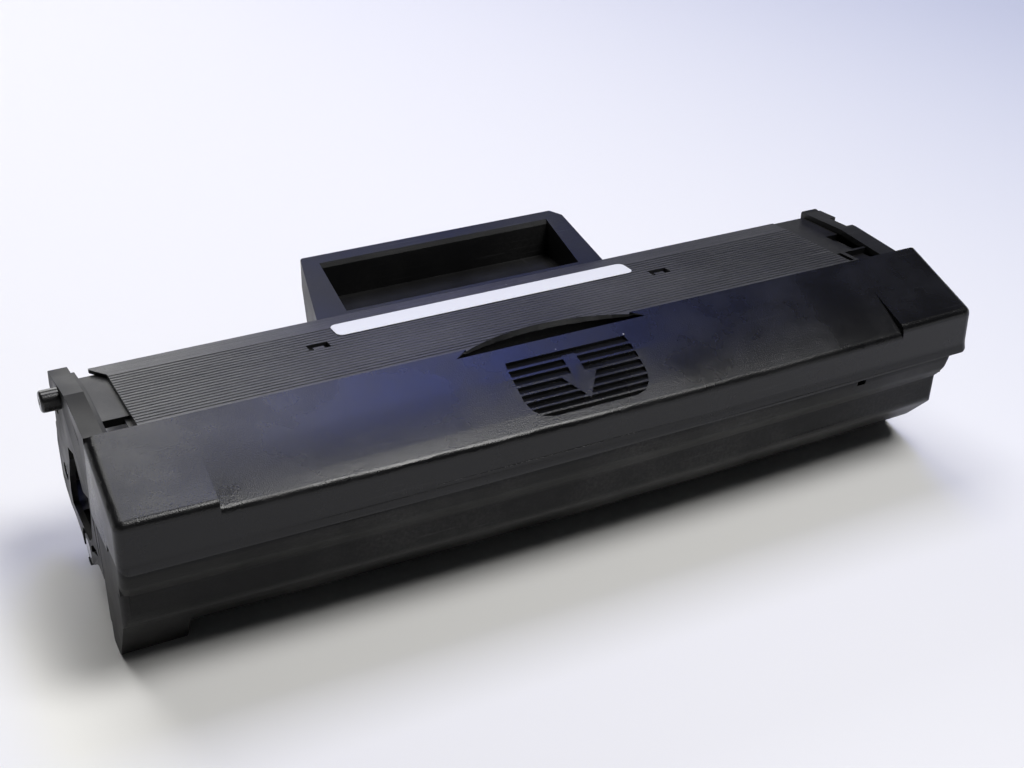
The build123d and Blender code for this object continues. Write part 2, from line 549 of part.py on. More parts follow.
def handle():
    top = lambda y: plate_z(BODY_BACK_Y) - 0.25 + (y - BODY_BACK_Y) * (HANDLE_TOP_FAR
                                                                       - plate_z(BODY_BACK_Y)
                                                                       + 0.25) / (HANDLE_BACK - BODY_BACK_Y)
    join = BODY_BACK_Y + 0.02
    root = plate_z(BODY_BACK_Y) - PLATE_THICK - 0.6
    side = [(BODY_BACK_Y - 2.0, 38.0), (BODY_BACK_Y - 2.0, root), (join, root), (join, top(join)),
            (HANDLE_BACK, HANDLE_TOP_FAR), (HANDLE_BACK, 60.3), (95.8, 49.8),
            (BODY_BACK_Y + 2.0, 38.0)]
    body = prism(side, HANDLE_NEAR_X[0], HANDLE_NEAR_X[1], {4: 1.0, 5: 2.5, 6: 6.0})
    y0 = BODY_BACK_Y
    a, b = HANDLE_LEFT_CORNER, HANDLE_RIGHT_CORNER
    plan = [(HANDLE_NEAR_X[0], y0 - 4), (HANDLE_NEAR_X[1], y0 - 4), (HANDLE_NEAR_X[1], y0),
            (HANDLE_FAR_X[1], HANDLE_BACK - b), (HANDLE_FAR_X[1] - b, HANDLE_BACK + 0.1),
            (HANDLE_FAR_X[0] + a, HANDLE_BACK + 0.1), (HANDLE_FAR_X[0], HANDLE_BACK - a),
            (HANDLE_NEAR_X[0], y0)]
    body = body & upright(plan, 20.0, 90.0)
    trough = upright([(TROUGH_X[0], TROUGH_Y[0]), (TROUGH_X[1], TROUGH_Y[0]), (TROUGH_X[1], TROUGH_Y[1]),
                      (TROUGH_X[0], TROUGH_Y[1])], TROUGH_FLOOR, 90.0)
    body -= trough
    # chamfer along the inner edge of the far bar
    yb = TROUGH_Y[1]
    body -= prism([(yb - 1, top(yb) + 1), (yb - 1, top(yb) - 1.2), (yb, top(yb) - 1.2),
                   (yb + 1.1, top(yb) + 0.35), (yb + 1.1, top(yb) + 1)], TROUGH_X[0], TROUGH_X[1])
    return body


def drum_frame():
    t = PLATE_THICK + 0.02
    back = BODY_BACK_Y
    roof = lambda y: plate_z(y) - t
    shell = [(42.0, roof(42.0)), (back, roof(back)), (back + 0.2, 40.0), (back + 1.2, 24.0),
             (back + 1.2, 6.0), (back, 3.0), (69.0, 3.0),
             (WIPER_WALL_Y, 10.0), (WIPER_WALL_Y, 37.0), (61.0, FRAME_BELLY_Z), (46.0, FRAME_BELLY_Z),
             (42.0, 48.0)]
    frame = prism(shell, -END_WALL_OUT, END_WALL_OUT)
    w = FRAME_WALL
    waste = [(44.4, roof(44.4) + 0.1), (back - w, roof(back - w) + 0.1), (back - w + 0.2, 40.0),
             (back - w + 0.8, 24.0), (back - w + 0.8, 12.0), (WIPER_WALL_Y + w, 12.0),
             (WIPER_WALL_Y + w, 38.0), (62.0, FRAME_BELLY_Z + w), (47.4, FRAME_BELLY_Z + w), (44.4, 50.0)]
    frame -= prism(waste, -END_WALL_IN, END_WALL_IN)
    # front flange of the plate, carried to the hopper
    frame += prism([(33.4, roof(33.4)), (42.5, roof(42.5)), (42.5, roof(42.5) - w), (33.4, roof(33.4) - w)],
                   -END_WALL_OUT, END_WALL_OUT)
    frame -= block(-THUMB_BLOCK - 0.1, THUMB_BLOCK + 0.1, 33.0, THUMB_ARC_Y + THUMB_RIM - 0.3,
                   THUMB_FLOOR_Z - THUMB_SKIN - 0.1, 70.0)
    # end walls with the drum's saddle
    wall = [(37.5, roof(37.5)), (back, roof(back)), (back + 1.2, 24.0), (back + 1.2, 6.0), (64.0, 6.0),
            (52.0, 27.0), (45.0, 30.0), (37.5, 44.6)]
    for s in (-1, 1):
        x0, x1 = sorted((s * END_WALL_IN, s * END_WALL_OUT))
        frame += prism(wall, x0, x1)
    # ledge and rear margin beyond the plate's left end
    lz = lambda y: plate_z(y) - LEDGE_DROP
    ya, yb = LEDGE_FRONT_Y, LEDGE_BACK_Y
    frame += prism([(ya, lz(ya)), (yb, lz(yb)), (yb, lz(yb) - LEDGE_THICK), (ya, lz(ya) - LEDGE_THICK)],
                   LEDGE_X0, PLATE_X0 - 0.05)
    # plain field beyond its right end, with the three pockets
    y1 = back - 0.6
    field = [(30.2, plate_z(30.2) - 0.3), (y1, plate_z(y1) - 0.3), (y1, 54.0), (33.4, 54.0), (33.4, 64.7),
             (30.2, 64.7)]
    right = prism(field, PLATE_X1 + 0.05, RIGHT_LEDGE_X1)
    right -= block(PLATE_X1 - 1, END_WALL_IN, 35.6, 71.6, 50.0, 58.0)
    for back_from, back_to, ya, yb in ((5.1, -0.05, 40.6, 54.3), (8.8, -0.05, 31.4, 39.4),
                                       (12.0, 10.4, 32.4, 39.4)):
        right -= block(RIGHT_LEDGE_X1 - back_from, RIGHT_LEDGE_X1 - back_to, ya, yb, 59.6, 80.0)
    right -= block(PLATE_X1 - 7.8, PLATE_X1 + 0.1, 72.2, 80.0, 40.0, 80.0)
    frame += right
    # skid ribs that guide the paper and carry the rear on the floor
    for i in range(SKID_COUNT):
        x = SKID_REACH * (2 * i / (SKID_COUNT - 1) - 1)
        frame += prism([(68.4, 8.0), (69.2, 3.0), (71.4, 0.0), (74.2, 0.0), (back + 1.2, 3.0),
                        (back + 1.2, 8.0)], x - 0.9, x + 0.9)
    # bosses that take the screws of both caps
    for bosses, x0, x1 in ((CAP_SCREWS, LINER_X[1] + 0.05, -END_WALL_IN + 0.6),
                           (RIGHT_SCREWS, BOSS_END, RIGHT_LEDGE_X1)):
        for at in bosses:
            frame += rod(at, 3.1, x0, x1)
    for at in CAP_SCREWS:
        frame -= rod(at, SCREW_R, LINER_X[1] - 1, LEFT_TIP)
    for at in RIGHT_SCREWS:
        frame -= rod(at, SCREW_R, BOSS_END - 1, RIGHT_LEDGE_X1 + 1)
    frame += handle()
    # room for the drum, the charge roller and its blocks
    frame -= rod(DRUM, DRUM_R + 1.0, -END_WALL_OUT - 1, END_WALL_OUT + 1)
    return frame


def drive_end_cap():
    cap = prism(CAP_OUTLINE, -HALF, CAP_RIM_X, {2: 1.5, 7: 1.5, 6: 3.0})
    cap -= prism(inset(CAP_OUTLINE, CAP_WALL), -HALF + CAP_SKIN, CAP_RIM_X + 1)
    cap -= prism(WINDOW_OUTLINE, -HALF - 1, -HALF + CAP_SKIN + 0.5)
    # slot below the top edge, lower window and slots near the hood
    cap -= prism([(44.6, 63.8), (46.6, 65.0), (39.6, 61.6), (37.6, 60.2)], -HALF - 1,
                 -HALF + CAP_SKIN + 0.5)
    cap -= prism([(33.0, 27.0), (35.0, 38.0), (34.0, 38.0), (32.0, 27.0)], -HALF - 1,
                 -HALF + CAP_SKIN + 0.5)
    cap -= prism([(34.4, 25.0), (41.0, 22.2), (45.0, 19.4), (45.6, 21.0), (41.8, 24.2), (36.4, 26.0)],
                 -HALF - 1, -HALF + CAP_SKIN + 0.5)
    # sunk ring round the axle's end
    cap -= rod(DRUM, 6.2, -HALF - 1, -HALF + 0.9)
    # bosses for the drum axle and the two screws
    cap += rod(DRUM, 4.6, -HALF + 0.2, LINER_X[0] - 0.05)
    cap += rod(PIN_AT, 5.0, -HALF + 0.5, CAP_RIM_X)
    for at in CAP_SCREWS:
        cap += rod(at, 3.4, -HALF + 0.5, CAP_RIM_X)
    cap = cap & prism(CAP_BOUND, -HALF, CAP_RIM_X)
    cap -= rod(DRUM, DRUM_AXLE_R, -HALF - 1, CAP_RIM_X + 1)
    cap -= rod(PIN_AT, PIN_R - 1.0, -HALF - 1, CAP_RIM_X + 1)
    for at in CAP_SCREWS:
        cap -= rod(at, SCREW_R, -HALF - 1, CAP_RIM_X + 1)
        cap -= rod(at, SCREW_HEAD_R + 0.15, -HALF - 1, -HALF + SCREW_HEAD_H)
    return cap


CAP_BOUND = [(30.0, 67.6), (53.0, 67.6), (77.5, 62.2), (78.5, 57.0), (80.5, 50.0), (80.5, 23.5),
             (78.0, 18.0), (66.0, 8.0), (54.0, 8.0), (36.0, 20.0), (30.0, 20.5)]
CAP_SCREWS = ((71.0, 54.0), (72.5, 30.0))
SCREW_R = 1.4
SCREW_HEAD_R = 2.6
SCREW_HEAD_H = 1.3


def drive_liner():
    """Thin plate behind the cap that keeps the gears on their pins."""
    outline = [(31.4, 66.9), (53.0, 66.9), (73.0, 62.4), (73.0, 24.0), (66.0, 21.4), (60.0, 20.6),
               (48.0, 27.2), (36.2, 27.2), (31.4, 33.0)]
    liner = prism(outline, LINER_X[0], LINER_X[1])
    liner -= prism([(61.0, 44.0), (50.0, 44.0), (50.0, 30.0), (66.0, 30.0)], LINER_X[0] - 1, LINER_X[1] + 1)
    liner -= block(LINER_X[0] - 1, LINER_X[1] + 1, 33.5, 37.8, 58.0, 64.0)
    for at in CAP_SCREWS:
        liner -= rod(at, SCREW_R, LINER_X[0] - 1, LINER_X[1] + 1)
    liner -= rod(DRUM, 9.0, LINER_X[0] - 1, LINER_X[1] + 1)
    return liner


def guide_pin():
    y, z = PIN_AT
    pin = rod(PIN_AT, PIN_R, -HALF - PIN_OUT, -HALF)
    pin = fillet([e for e in pin.edges() if e.center().X < -HALF - PIN_OUT + 0.1], 0.9)
    pin += rod(PIN_AT, PIN_R - 1.0, -HALF, CAP_RIM_X + 0.0)
    pin -= rod(PIN_AT, 0.9, -HALF - PIN_OUT - 1, -HALF - PIN_OUT + 2.2)
    return pin


def contact_end_cap():
    x0, x1 = RIGHT_CAP_X0, RIGHT_CAP_X1
    outline = [(31.8, 66.6), (53.0, 66.3), (73.6, 63.6), (74.6, 58.0), (74.6, 24.0), (72.0, 18.0),
               (66.0, 16.5), (57.0, 8.8), (33.6, 8.8), (31.8, 10.6)]
    cap = prism(outline, x0, x1, {2: 1.0, 3: 1.0})
    cap -= prism(inset(outline, CAP_WALL), x0 - 1, x1 - CAP_SKIN)
    cap += rod(DRUM, 4.6, x0 + 0.4, x1)
    cap -= rod(DEV, DEV_SHAFT_R + 1.4, x0 - 1, x1 - CAP_SKIN)
    # the ear at the rear corner and the notch before it
    ear = block(x0 + 0.6, x1 - 0.6, 66.4, 76.0, 59.0, EAR_TOP)
    ear = fillet([e for e in ear.edges() if abs(e.tangent_at(0.5).X) > 0.9
                  and e.center().Z > EAR_TOP - 0.5], 1.5)
    cap += ear
    cap -= block(x1 - 2.4, x1 + 1, 55.2, 64.4, 62.6, 70.0)
    cap -= rod(DRUM, DRUM_AXLE_R, x0 - 1, x1 - 0.8)
    for at in RIGHT_SCREWS:
        cap += rod(at, 3.4, x0, x1) & prism(outline, x0, x1)
        cap -= rod(at, SCREW_R, x0 - 1, x1 + 1)
        cap -= rod(at, SCREW_HEAD_R + 0.15, x1 - SCREW_HEAD_H, x1 + 1)
    # windows for the contact springs and the seat of the chip board
    cap -= block(x1 - CAP_SKIN - 1, x1 + 1, DEV[0] - 0.8, DEV[0] + 3.4, 30.6, 35.4)
    cap -= block(x1 - CAP_SKIN - 1, x1 + 1, 62.0, 67.0, 28.0, 34.0)
    cap -= block(x1 - 1.0, x1 + 1, CHIP_Y[0] - 0.1, CHIP_Y[1] + 0.1, CHIP_Z[0] - 0.1, CHIP_Z[1] + 0.1)
    return cap


RIGHT_SCREWS = ((42.0, 57.0), (68.6, 52.0), (68.2, 25.4))
EAR_TOP = 63.7
CHIP_Y = (44.0, 58.0)
CHIP_Z = (44.0, 51.0)


def chip_board():
    x1 = RIGHT_CAP_X1
    return block(x1 - 1.0, x1 - 0.2, CHIP_Y[0], CHIP_Y[1], CHIP_Z[0], CHIP_Z[1])


def chip_pads():
    x1 = RIGHT_CAP_X1
    pads = []
    for i in range(4):
        y = CHIP_Y[0] + 1.0 + i * 3.1
        pads.append(block(x1 - 0.2, x1 - 0.1, y, y + 2.4, CHIP_Z[0] + 1.0, CHIP_Z[1] - 1.0))
    return Compound(children=pads)


def screw(at, x_head, inward, length):
    """Pan-head screw with a cross recess; inward is the sign of X in which it is driven."""
    head0, head1 = sorted((x_head, x_head + inward * (SCREW_HEAD_H - 0.2)))
    body = rod(at, SCREW_HEAD_R, head0, head1)
    s0, s1 = sorted((x_head + inward * (SCREW_HEAD_H - 0.2), x_head + inward * length))
    body += rod(at, SCREW_R, s0, s1)
    r0, r1 = sorted((x_head - inward, x_head + inward * 0.7))
    body -= block(r0, r1, at[0] - 1.5, at[0] + 1.5, at[1] - 0.3, at[1] + 0.3)
    body -= block(r0, r1, at[0] - 0.3, at[0] + 0.3, at[1] - 1.5, at[1] + 1.5)
    return body


def case_screws():
    out = [screw(at, -HALF + 0.2, 1, LEFT_TIP + HALF - 0.4) for at in CAP_SCREWS]
    out += [screw(at, RIGHT_CAP_X1 - 0.2, -1, RIGHT_CAP_X1 - BOSS_END - 0.4) for at in RIGHT_SCREWS]
    return Compound(children=out)


def drum_tube():
    return tube(DRUM, DRUM_R, DRUM_R - 1.0, -TUBE_HALF, TUBE_HALF)


def drum_drive_gear():
    r_in = DRUM_R - 1.0
    body = gear(DRUM, DRUM_TEETH, GEAR_X0, GEAR_X1, DRUM_AXLE_R + RUN_CLEAR, DRUM_TURN)
    body += tube(DRUM, 10.6, DRUM_AXLE_R + RUN_CLEAR, GEAR_X1 - 0.4, -TUBE_HALF)
    body += tube(DRUM, r_in, DRUM_AXLE_R + RUN_CLEAR, -TUBE_HALF, -TUBE_HALF + SPIGOT)
    for i in range(6):
        hole = polar(DRUM, 6.6, 60 * i + 12)
        body -= rod(hole, 2.0, GEAR_X0 - 1, GEAR_X0 + 3.4)
    return body


def drum_right_flange():
    r_in = DRUM_R - 1.0
    body = tube(DRUM, 10.6, DRUM_AXLE_R + RUN_CLEAR, TUBE_HALF, END_WALL_OUT - 0.2)
    body += tube(DRUM, r_in, DRUM_AXLE_R + RUN_CLEAR, TUBE_HALF - SPIGOT, TUBE_HALF)
    return body


def drum_axles():
    left = rod(DRUM, DRUM_AXLE_R, -HALF + 0.1, -AXLE_IN)
    right = rod(DRUM, DRUM_AXLE_R, AXLE_IN, RIGHT_CAP_X1 - 0.8)
    left = chamfer([e for e in left.edges() if e.center().X > -AXLE_IN - 0.5], 0.6)
    right = chamfer([e for e in right.edges() if e.center().X < AXLE_IN + 0.5], 0.6)
    return Compound(children=[left, right])


def developer_sleeve():
    return tube(DEV, DEV_R, DEV_SHAFT_R, -SLEEVE_HALF, SLEEVE_HALF)


def developer_shaft():
    return rod(DEV, DEV_SHAFT_R, GEAR_X0 - 0.4, CONTACT_X)


def bushes(axis, r_shaft, r_out, flange, x_in, sides=(-1, 1)):
    """Pair of flanged bushes in the end walls."""
    out = []
    for s in sides:
        a0, a1 = sorted((s * END_WALL_IN, s * END_WALL_OUT))
        b = rod(axis, r_out, a0, a1)
        f0, f1 = sorted((s * x_in, s * END_WALL_IN))
        b += rod(axis, flange, f0, f1)
        b -= rod(axis, r_shaft + RUN_CLEAR, min(a0, f0) - 1, max(a1, f1) + 1)
        out.append(b)
    return Compound(children=out)


def developer_gear():
    return gear(DEV, DEV_TEETH, GEAR_X0, GEAR_X1, DEV_SHAFT_R, DEV_TURN)


def supply_foam():
    return tube(SUPPLY, SUPPLY_R, SUPPLY_SHAFT_R, -FOAM_HALF, FOAM_HALF)


def supply_shaft():
    return rod(SUPPLY, SUPPLY_SHAFT_R, GEAR_X0 - 0.4, RIGHT_CAP_X0 + 1.0)


def supply_gear():
    return gear(SUPPLY, SUPPLY_TEETH, GEAR_X0, GEAR_X1, SUPPLY_SHAFT_R, SUPPLY_TURN)


def idler_gear():
    body = gear(IDLER, IDLER_TEETH, GEAR_X0, GEAR_X1, IDLER_PIN_R + RUN_CLEAR, IDLER_TURN)
    return body


def idler_pin():
    pin = rod(IDLER, IDLER_PIN_R, GEAR_X0 - 0.3, -END_WALL_IN)
    pin += rod(IDLER, 3.2, GEAR_X0 - 0.8, GEAR_X0 - 0.3)
    return pin


def agitator_shaft():
    body = rod(AGIT, AGIT_SHAFT_R, GEAR_X0 - 0.4, RIGHT_CAP_X0 + 0.5)
    flat = block(-PADDLE_HALF, PADDLE_HALF, AGIT[0] - 1.0, AGIT[0] + 1.0, AGIT[1], AGIT[1] + 4.6)
    return body + flat


def agitator_film():
    y = AGIT[0]
    x = PADDLE_HALF - 1.0
    return block(-x, x, y + 1.0, y + 1.3, AGIT[1] + AGIT_SHAFT_R, AGIT[1] + 10.2)


def agitator_gear():
    return gear(AGIT, AGIT_TEETH, GEAR_X0, GEAR_X1, AGIT_SHAFT_R, AGIT_TURN)


def doctor_bracket():
    y = HOPPER_REAR_Y
    x1 = DOCTOR_HALF
    body = block(-x1, x1, y, y + 1.0, 28.4, 41.4) + block(-x1, x1, y, y + 4.6, 40.4, 41.4)
    for x in DOCTOR_SCREW_X:
        body -= Pos(x, y, DOCTOR_SCREW_Z) * Rot(90, 0, 0) * Cylinder(DOCTOR_SCREW_R, 6)
    return body


DOCTOR_SCREW_X = [s * k * (DOCTOR_HALF - 13.0) for s in (-1, 1) for k in (0.346, 1.0)]
DOCTOR_SCREW_Z = 37.6
DOCTOR_SCREW_R = 1.3


def doctor_blade():
    y = HOPPER_REAR_Y + 1.0
    tip = DEV[1] + math.sqrt((DEV_R + 0.08) ** 2 - (DEV[0] - y) ** 2)
    x = DOCTOR_HALF - 1.0
    return block(-x, x, y, y + 0.5, tip, 34.6)


def doctor_screws():
    out = []
    for x in DOCTOR_SCREW_X:
        y, z = HOPPER_REAR_Y, DOCTOR_SCREW_Z
        head = Pos(x, y + 1.7, z) * Rot(90, 0, 0) * Cylinder(2.3, 1.4)
        shank = Pos(x, y - 0.5, z) * Rot(90, 0, 0) * Cylinder(DOCTOR_SCREW_R, 3.0)
        slot = block(x - 1.4, x + 1.4, y + 1.8, y + 3.0, z - 0.3, z + 0.3)
        slot += block(x - 0.3, x + 0.3, y + 1.8, y + 3.0, z - 1.4, z + 1.4)
        out.append(head + shank - slot)
    return Compound(children=out)


def charge_rubber():
    return tube(CHARGE, CHARGE_R, CHARGE_SHAFT_R, -CHARGE_HALF, CHARGE_HALF)


def charge_shaft():
    return rod(CHARGE, CHARGE_SHAFT_R, -CHARGE_SHAFT_HALF, CHARGE_SHAFT_HALF)


def charge_blocks():
    out = []
    y, z = CHARGE
    for s in (-1, 1):
        x0, x1 = sorted(s * x for x in CHARGE_BLOCK_X)
        b = block(x0, x1, y - 5.5, y + 5.5, z - 3.4, z + BLOCK_TOP)
        b -= rod(CHARGE, CHARGE_SHAFT_R + RUN_CLEAR, x0 - 1, x1 + 1)
        b -= rod(DRUM, DRUM_R + 0.8, x0 - 1, x1 + 1)
        out.append(b)
    return Compound(children=out)


def charge_springs():
    out = []
    y, z = CHARGE
    wire = 0.28
    turns = 4
    low = z + BLOCK_TOP + wire
    height = FRAME_BELLY_Z - wire - low
    for s in (-1, 1):
        path = Helix(pitch=height / turns, height=height, radius=1.8)
        profile = Plane(origin=path @ 0, z_dir=path % 0) * Circle(wire)
        out.append(Pos(s * sum(CHARGE_BLOCK_X) / 2, y, low) * sweep(profile, path))
    return Compound(children=out)


def wiper_bracket():
    x = WIPER_HALF
    return block(-x, x, WIPER_WALL_Y - 1.2, WIPER_WALL_Y, 25.0, 36.0)


def wiper_blade():
    tip = polar(DRUM, DRUM_R + 0.08, 25.0)
    y1 = WIPER_WALL_Y - 1.2
    y0 = y1 - 1.6
    return prism([(y1, 33.0), (y1, 24.4), (tip[0] + 1.2, tip[1] + 0.3), (tip[0], tip[1]),
                  (tip[0] - 0.1, tip[1] + 1.4), (y0, 25.6), (y0, 33.0)], 0.5 - WIPER_HALF, WIPER_HALF - 0.5)


def waste_film():
    tip = polar(DRUM, DRUM_R + 0.12, -8.0)
    return prism([(WIPER_WALL_Y, 10.4), (WIPER_WALL_Y, 10.75), (tip[0], tip[1] + 0.3), (tip[0], tip[1])],
                 -WIPER_HALF, WIPER_HALF)


def drum_end_seals():
    out = []
    for s in (-1, 1):
        x0, x1 = sorted(s * x for x in SEAL_X)
        out.append(block(x0, x1, DRUM[0] + 8.0, WIPER_WALL_Y, 14.0, 31.0) - rod(DRUM, DRUM_R + 0.12, x0 - 1,
                                                                                x1 + 1))
    return Compound(children=out)


CONTACT_X = RIGHT_CAP_X0 + 2.5


def developer_contact():
    """Bent spring sheet in the right cap, on the end of the developer shaft."""
    x = CONTACT_X
    body = block(x, x + 0.4, DEV[0] - 0.8, DEV[0] + 3.6, DEV[1] - 2.0, 35.0)
    body += block(x + 0.4, RIGHT_CAP_X1 - 0.4, DEV[0] - 0.6, DEV[0] + 3.0, 31.0, 31.4)
    return body + block(RIGHT_CAP_X1 - 0.8, RIGHT_CAP_X1 - 0.4, DEV[0] - 0.6, DEV[0] + 3.0, 31.0, 35.0)


def drum_contact():
    """Leaf in the left cap's lower window, the black and bright piece seen in the photo."""
    x = -HALF + CAP_SKIN
    leaf = prism([(34.0, 25.0), (41.0, 21.8), (45.8, 18.4), (46.2, 21.0), (42.0, 24.6), (36.4, 26.4)], x,
                 x + 0.5)
    leaf -= rod((37.4, 24.8), 0.7, x - 1, x + 2)
    dome = rod((43.4, 21.6), 0.8, x - 0.7, x)
    return leaf + dome


DRUM_TURN = 0.0
DEV_TURN = follower_turn(DRUM, DRUM_TURN, DRUM_TEETH, DEV, DEV_TEETH)
SUPPLY_TURN = follower_turn(DEV, DEV_TURN, DEV_TEETH, SUPPLY, SUPPLY_TEETH)
IDLER_TURN = follower_turn(SUPPLY, SUPPLY_TURN, SUPPLY_TEETH, IDLER, IDLER_TEETH)
AGIT_TURN = follower_turn(IDLER, IDLER_TURN, IDLER_TEETH, AGIT, AGIT_TEETH)

NODES = {
    "front_hood": front_hood,
    "toner_hopper": toner_hopper,
    "fill_plug": fill_plug,
    "ribbed_top_cover": ribbed_top_cover,
    "label": label,
    "drum_frame": drum_frame,
    "drive_end_cap": drive_end_cap,
    "drive_liner": drive_liner,
    "guide_pin": guide_pin,
    "contact_end_cap": contact_end_cap,
    "chip_board": chip_board,
    "chip_pads": chip_pads,
    "case_screws": case_screws,
    "drum_tube": drum_tube,
    "drum_drive_gear": drum_drive_gear,
    "drum_right_flange": drum_right_flange,
    "drum_axles": drum_axles,
    "developer_sleeve": developer_sleeve,
    "developer_shaft": developer_shaft,
    "developer_bushes": lambda: bushes(DEV, DEV_SHAFT_R, 5.0, 5.6, END_WALL_IN - 1.0),
    "developer_gear": developer_gear,
    "supply_foam": supply_foam,
    "supply_shaft": supply_shaft,
    "supply_bushes": lambda: bushes(SUPPLY, SUPPLY_SHAFT_R, 4.5, 5.2, END_WALL_IN - 1.0),
    "supply_gear": supply_gear,
    "idler_gear": idler_gear,
    "idler_pin": idler_pin,
    "agitator_shaft": agitator_shaft,
    "agitator_film": agitator_film,
    "agitator_gear": agitator_gear,
    "agitator_bushes": lambda: bushes(AGIT, AGIT_SHAFT_R, 5.0, 5.8, END_WALL_IN - 1.2),
    "doctor_bracket": doctor_bracket,
    "doctor_blade": doctor_blade,
    "doctor_screws": doctor_screws,
    "charge_rubber": charge_rubber,
    "charge_shaft": charge_shaft,
    "charge_blocks": charge_blocks,
    "charge_springs": charge_springs,
    "wiper_bracket": wiper_bracket,
    "wiper_blade": wiper_blade,
    "waste_film": waste_film,
    "drum_end_seals": drum_end_seals,
    "developer_contact": developer_contact,
    "drum_contact": drum_contact,
}

for name, make in NODES.items():
    shape = Pos(PLACE) * make()
    box = shape.bounding_box()
    print(name, "solids", len(shape.solids()), "volume", round(shape.volume, 1), "box",
          [round(v, 2) for v in (*box.min, *box.max)])
    export_step(shape, "parts/" + name + ".step")
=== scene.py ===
import bmesh
import bpy
import math
from mathutils import Matrix, Vector
from mathutils.bvhtree import BVHTree


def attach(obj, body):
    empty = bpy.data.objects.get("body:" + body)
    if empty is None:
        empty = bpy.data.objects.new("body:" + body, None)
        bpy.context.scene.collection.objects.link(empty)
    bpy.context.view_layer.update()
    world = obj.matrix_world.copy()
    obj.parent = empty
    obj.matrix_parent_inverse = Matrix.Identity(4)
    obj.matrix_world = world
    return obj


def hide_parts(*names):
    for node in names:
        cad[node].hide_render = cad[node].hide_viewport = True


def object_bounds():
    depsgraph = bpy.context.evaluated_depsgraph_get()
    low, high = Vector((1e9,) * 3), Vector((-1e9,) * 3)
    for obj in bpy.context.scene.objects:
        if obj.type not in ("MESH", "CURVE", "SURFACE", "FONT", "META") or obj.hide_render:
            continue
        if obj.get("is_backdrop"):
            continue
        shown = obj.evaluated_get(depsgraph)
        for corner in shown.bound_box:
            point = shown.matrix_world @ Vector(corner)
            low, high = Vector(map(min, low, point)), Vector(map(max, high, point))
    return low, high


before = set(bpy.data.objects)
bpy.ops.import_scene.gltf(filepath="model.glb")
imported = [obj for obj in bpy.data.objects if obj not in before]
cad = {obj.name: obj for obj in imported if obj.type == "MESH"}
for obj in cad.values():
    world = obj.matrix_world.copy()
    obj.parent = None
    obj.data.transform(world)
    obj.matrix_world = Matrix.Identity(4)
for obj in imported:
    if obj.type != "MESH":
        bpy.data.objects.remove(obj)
cad_low, cad_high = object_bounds()

MM = 0.001

# Photograph and camera: solved on the cartridge's straight edges
PHOTO_WIDTH = 1024
FOCAL_PX = 1474.0
SENSOR = 36.0
PITCH = 0.556
YAW = -0.4803
ROLL = 0.0296
DISTANCE = 534.6 * MM
TARGET = Vector((25.7, 48.64, 3.5)) * MM


# Shader building

def link(tree, a, b):
    tree.links.new(a, b)


def new_group(name, inputs, outputs):
    """Empty shader node group with float, colour or vector sockets."""
    kinds = {"float": "NodeSocketFloat", "colour": "NodeSocketColor", "vector": "NodeSocketVector"}
    tree = bpy.data.node_groups.new(name, "ShaderNodeTree")
    for label, kind, value in inputs:
        s = tree.interface.new_socket(name=label, in_out="INPUT", socket_type=kinds[kind])
        if value is not None:
            s.default_value = value
    for label, kind in outputs:
        tree.interface.new_socket(name=label, in_out="OUTPUT", socket_type=kinds[kind])
    return tree, tree.nodes.new("NodeGroupInput"), tree.nodes.new("NodeGroupOutput")


def math_node(tree, operation, a, b=None, clamp=False):
    n = tree.nodes.new("ShaderNodeMath")
    n.operation = operation
    n.use_clamp = clamp
    for i, v in enumerate((a, b)):
        if v is None:
            continue
        if isinstance(v, (int, float)):
            n.inputs[i].default_value = v
        else:
            link(tree, v, n.inputs[i])
    return n.outputs[0]


def noise(tree, coordinate, scale, detail=2.0, rough=0.5, distortion=0.0):
    n = tree.nodes.new("ShaderNodeTexNoise")
    n.inputs["Detail"].default_value = detail
    n.inputs["Roughness"].default_value = rough
    n.inputs["Distortion"].default_value = distortion
    if isinstance(scale, (int, float)):
        n.inputs["Scale"].default_value = scale
    else:
        link(tree, scale, n.inputs["Scale"])
    link(tree, coordinate, n.inputs["Vector"])
    return n.outputs["Fac"]


def cells(tree, coordinate, scale, feature="F1", output="Distance"):
    n = tree.nodes.new("ShaderNodeTexVoronoi")
    n.feature = feature
    if isinstance(scale, (int, float)):
        n.inputs["Scale"].default_value = scale
    else:
        link(tree, scale, n.inputs["Scale"])
    link(tree, coordinate, n.inputs["Vector"])
    return n.outputs[output]


def window(tree, value, low, high, out_low=0.0, out_high=1.0):
    """Smooth ramp of a value between two limits."""
    n = tree.nodes.new("ShaderNodeMapRange")
    n.interpolation_type = "SMOOTHSTEP"
    link(tree, value, n.inputs["Value"])
    for label, v in (("From Min", low), ("From Max", high), ("To Min", out_low), ("To Max", out_high)):
        if isinstance(v, (int, float)):
            n.inputs[label].default_value = v
        else:
            link(tree, v, n.inputs[label])
    return n.outputs["Result"]


def stretch(tree, coordinate, scale):
    """Coordinates scaled by axis, for a pattern that runs one way."""
    n = tree.nodes.new("ShaderNodeMapping")
    n.inputs["Scale"].default_value = scale
    link(tree, coordinate, n.inputs["Vector"])
    return n.outputs["Vector"]


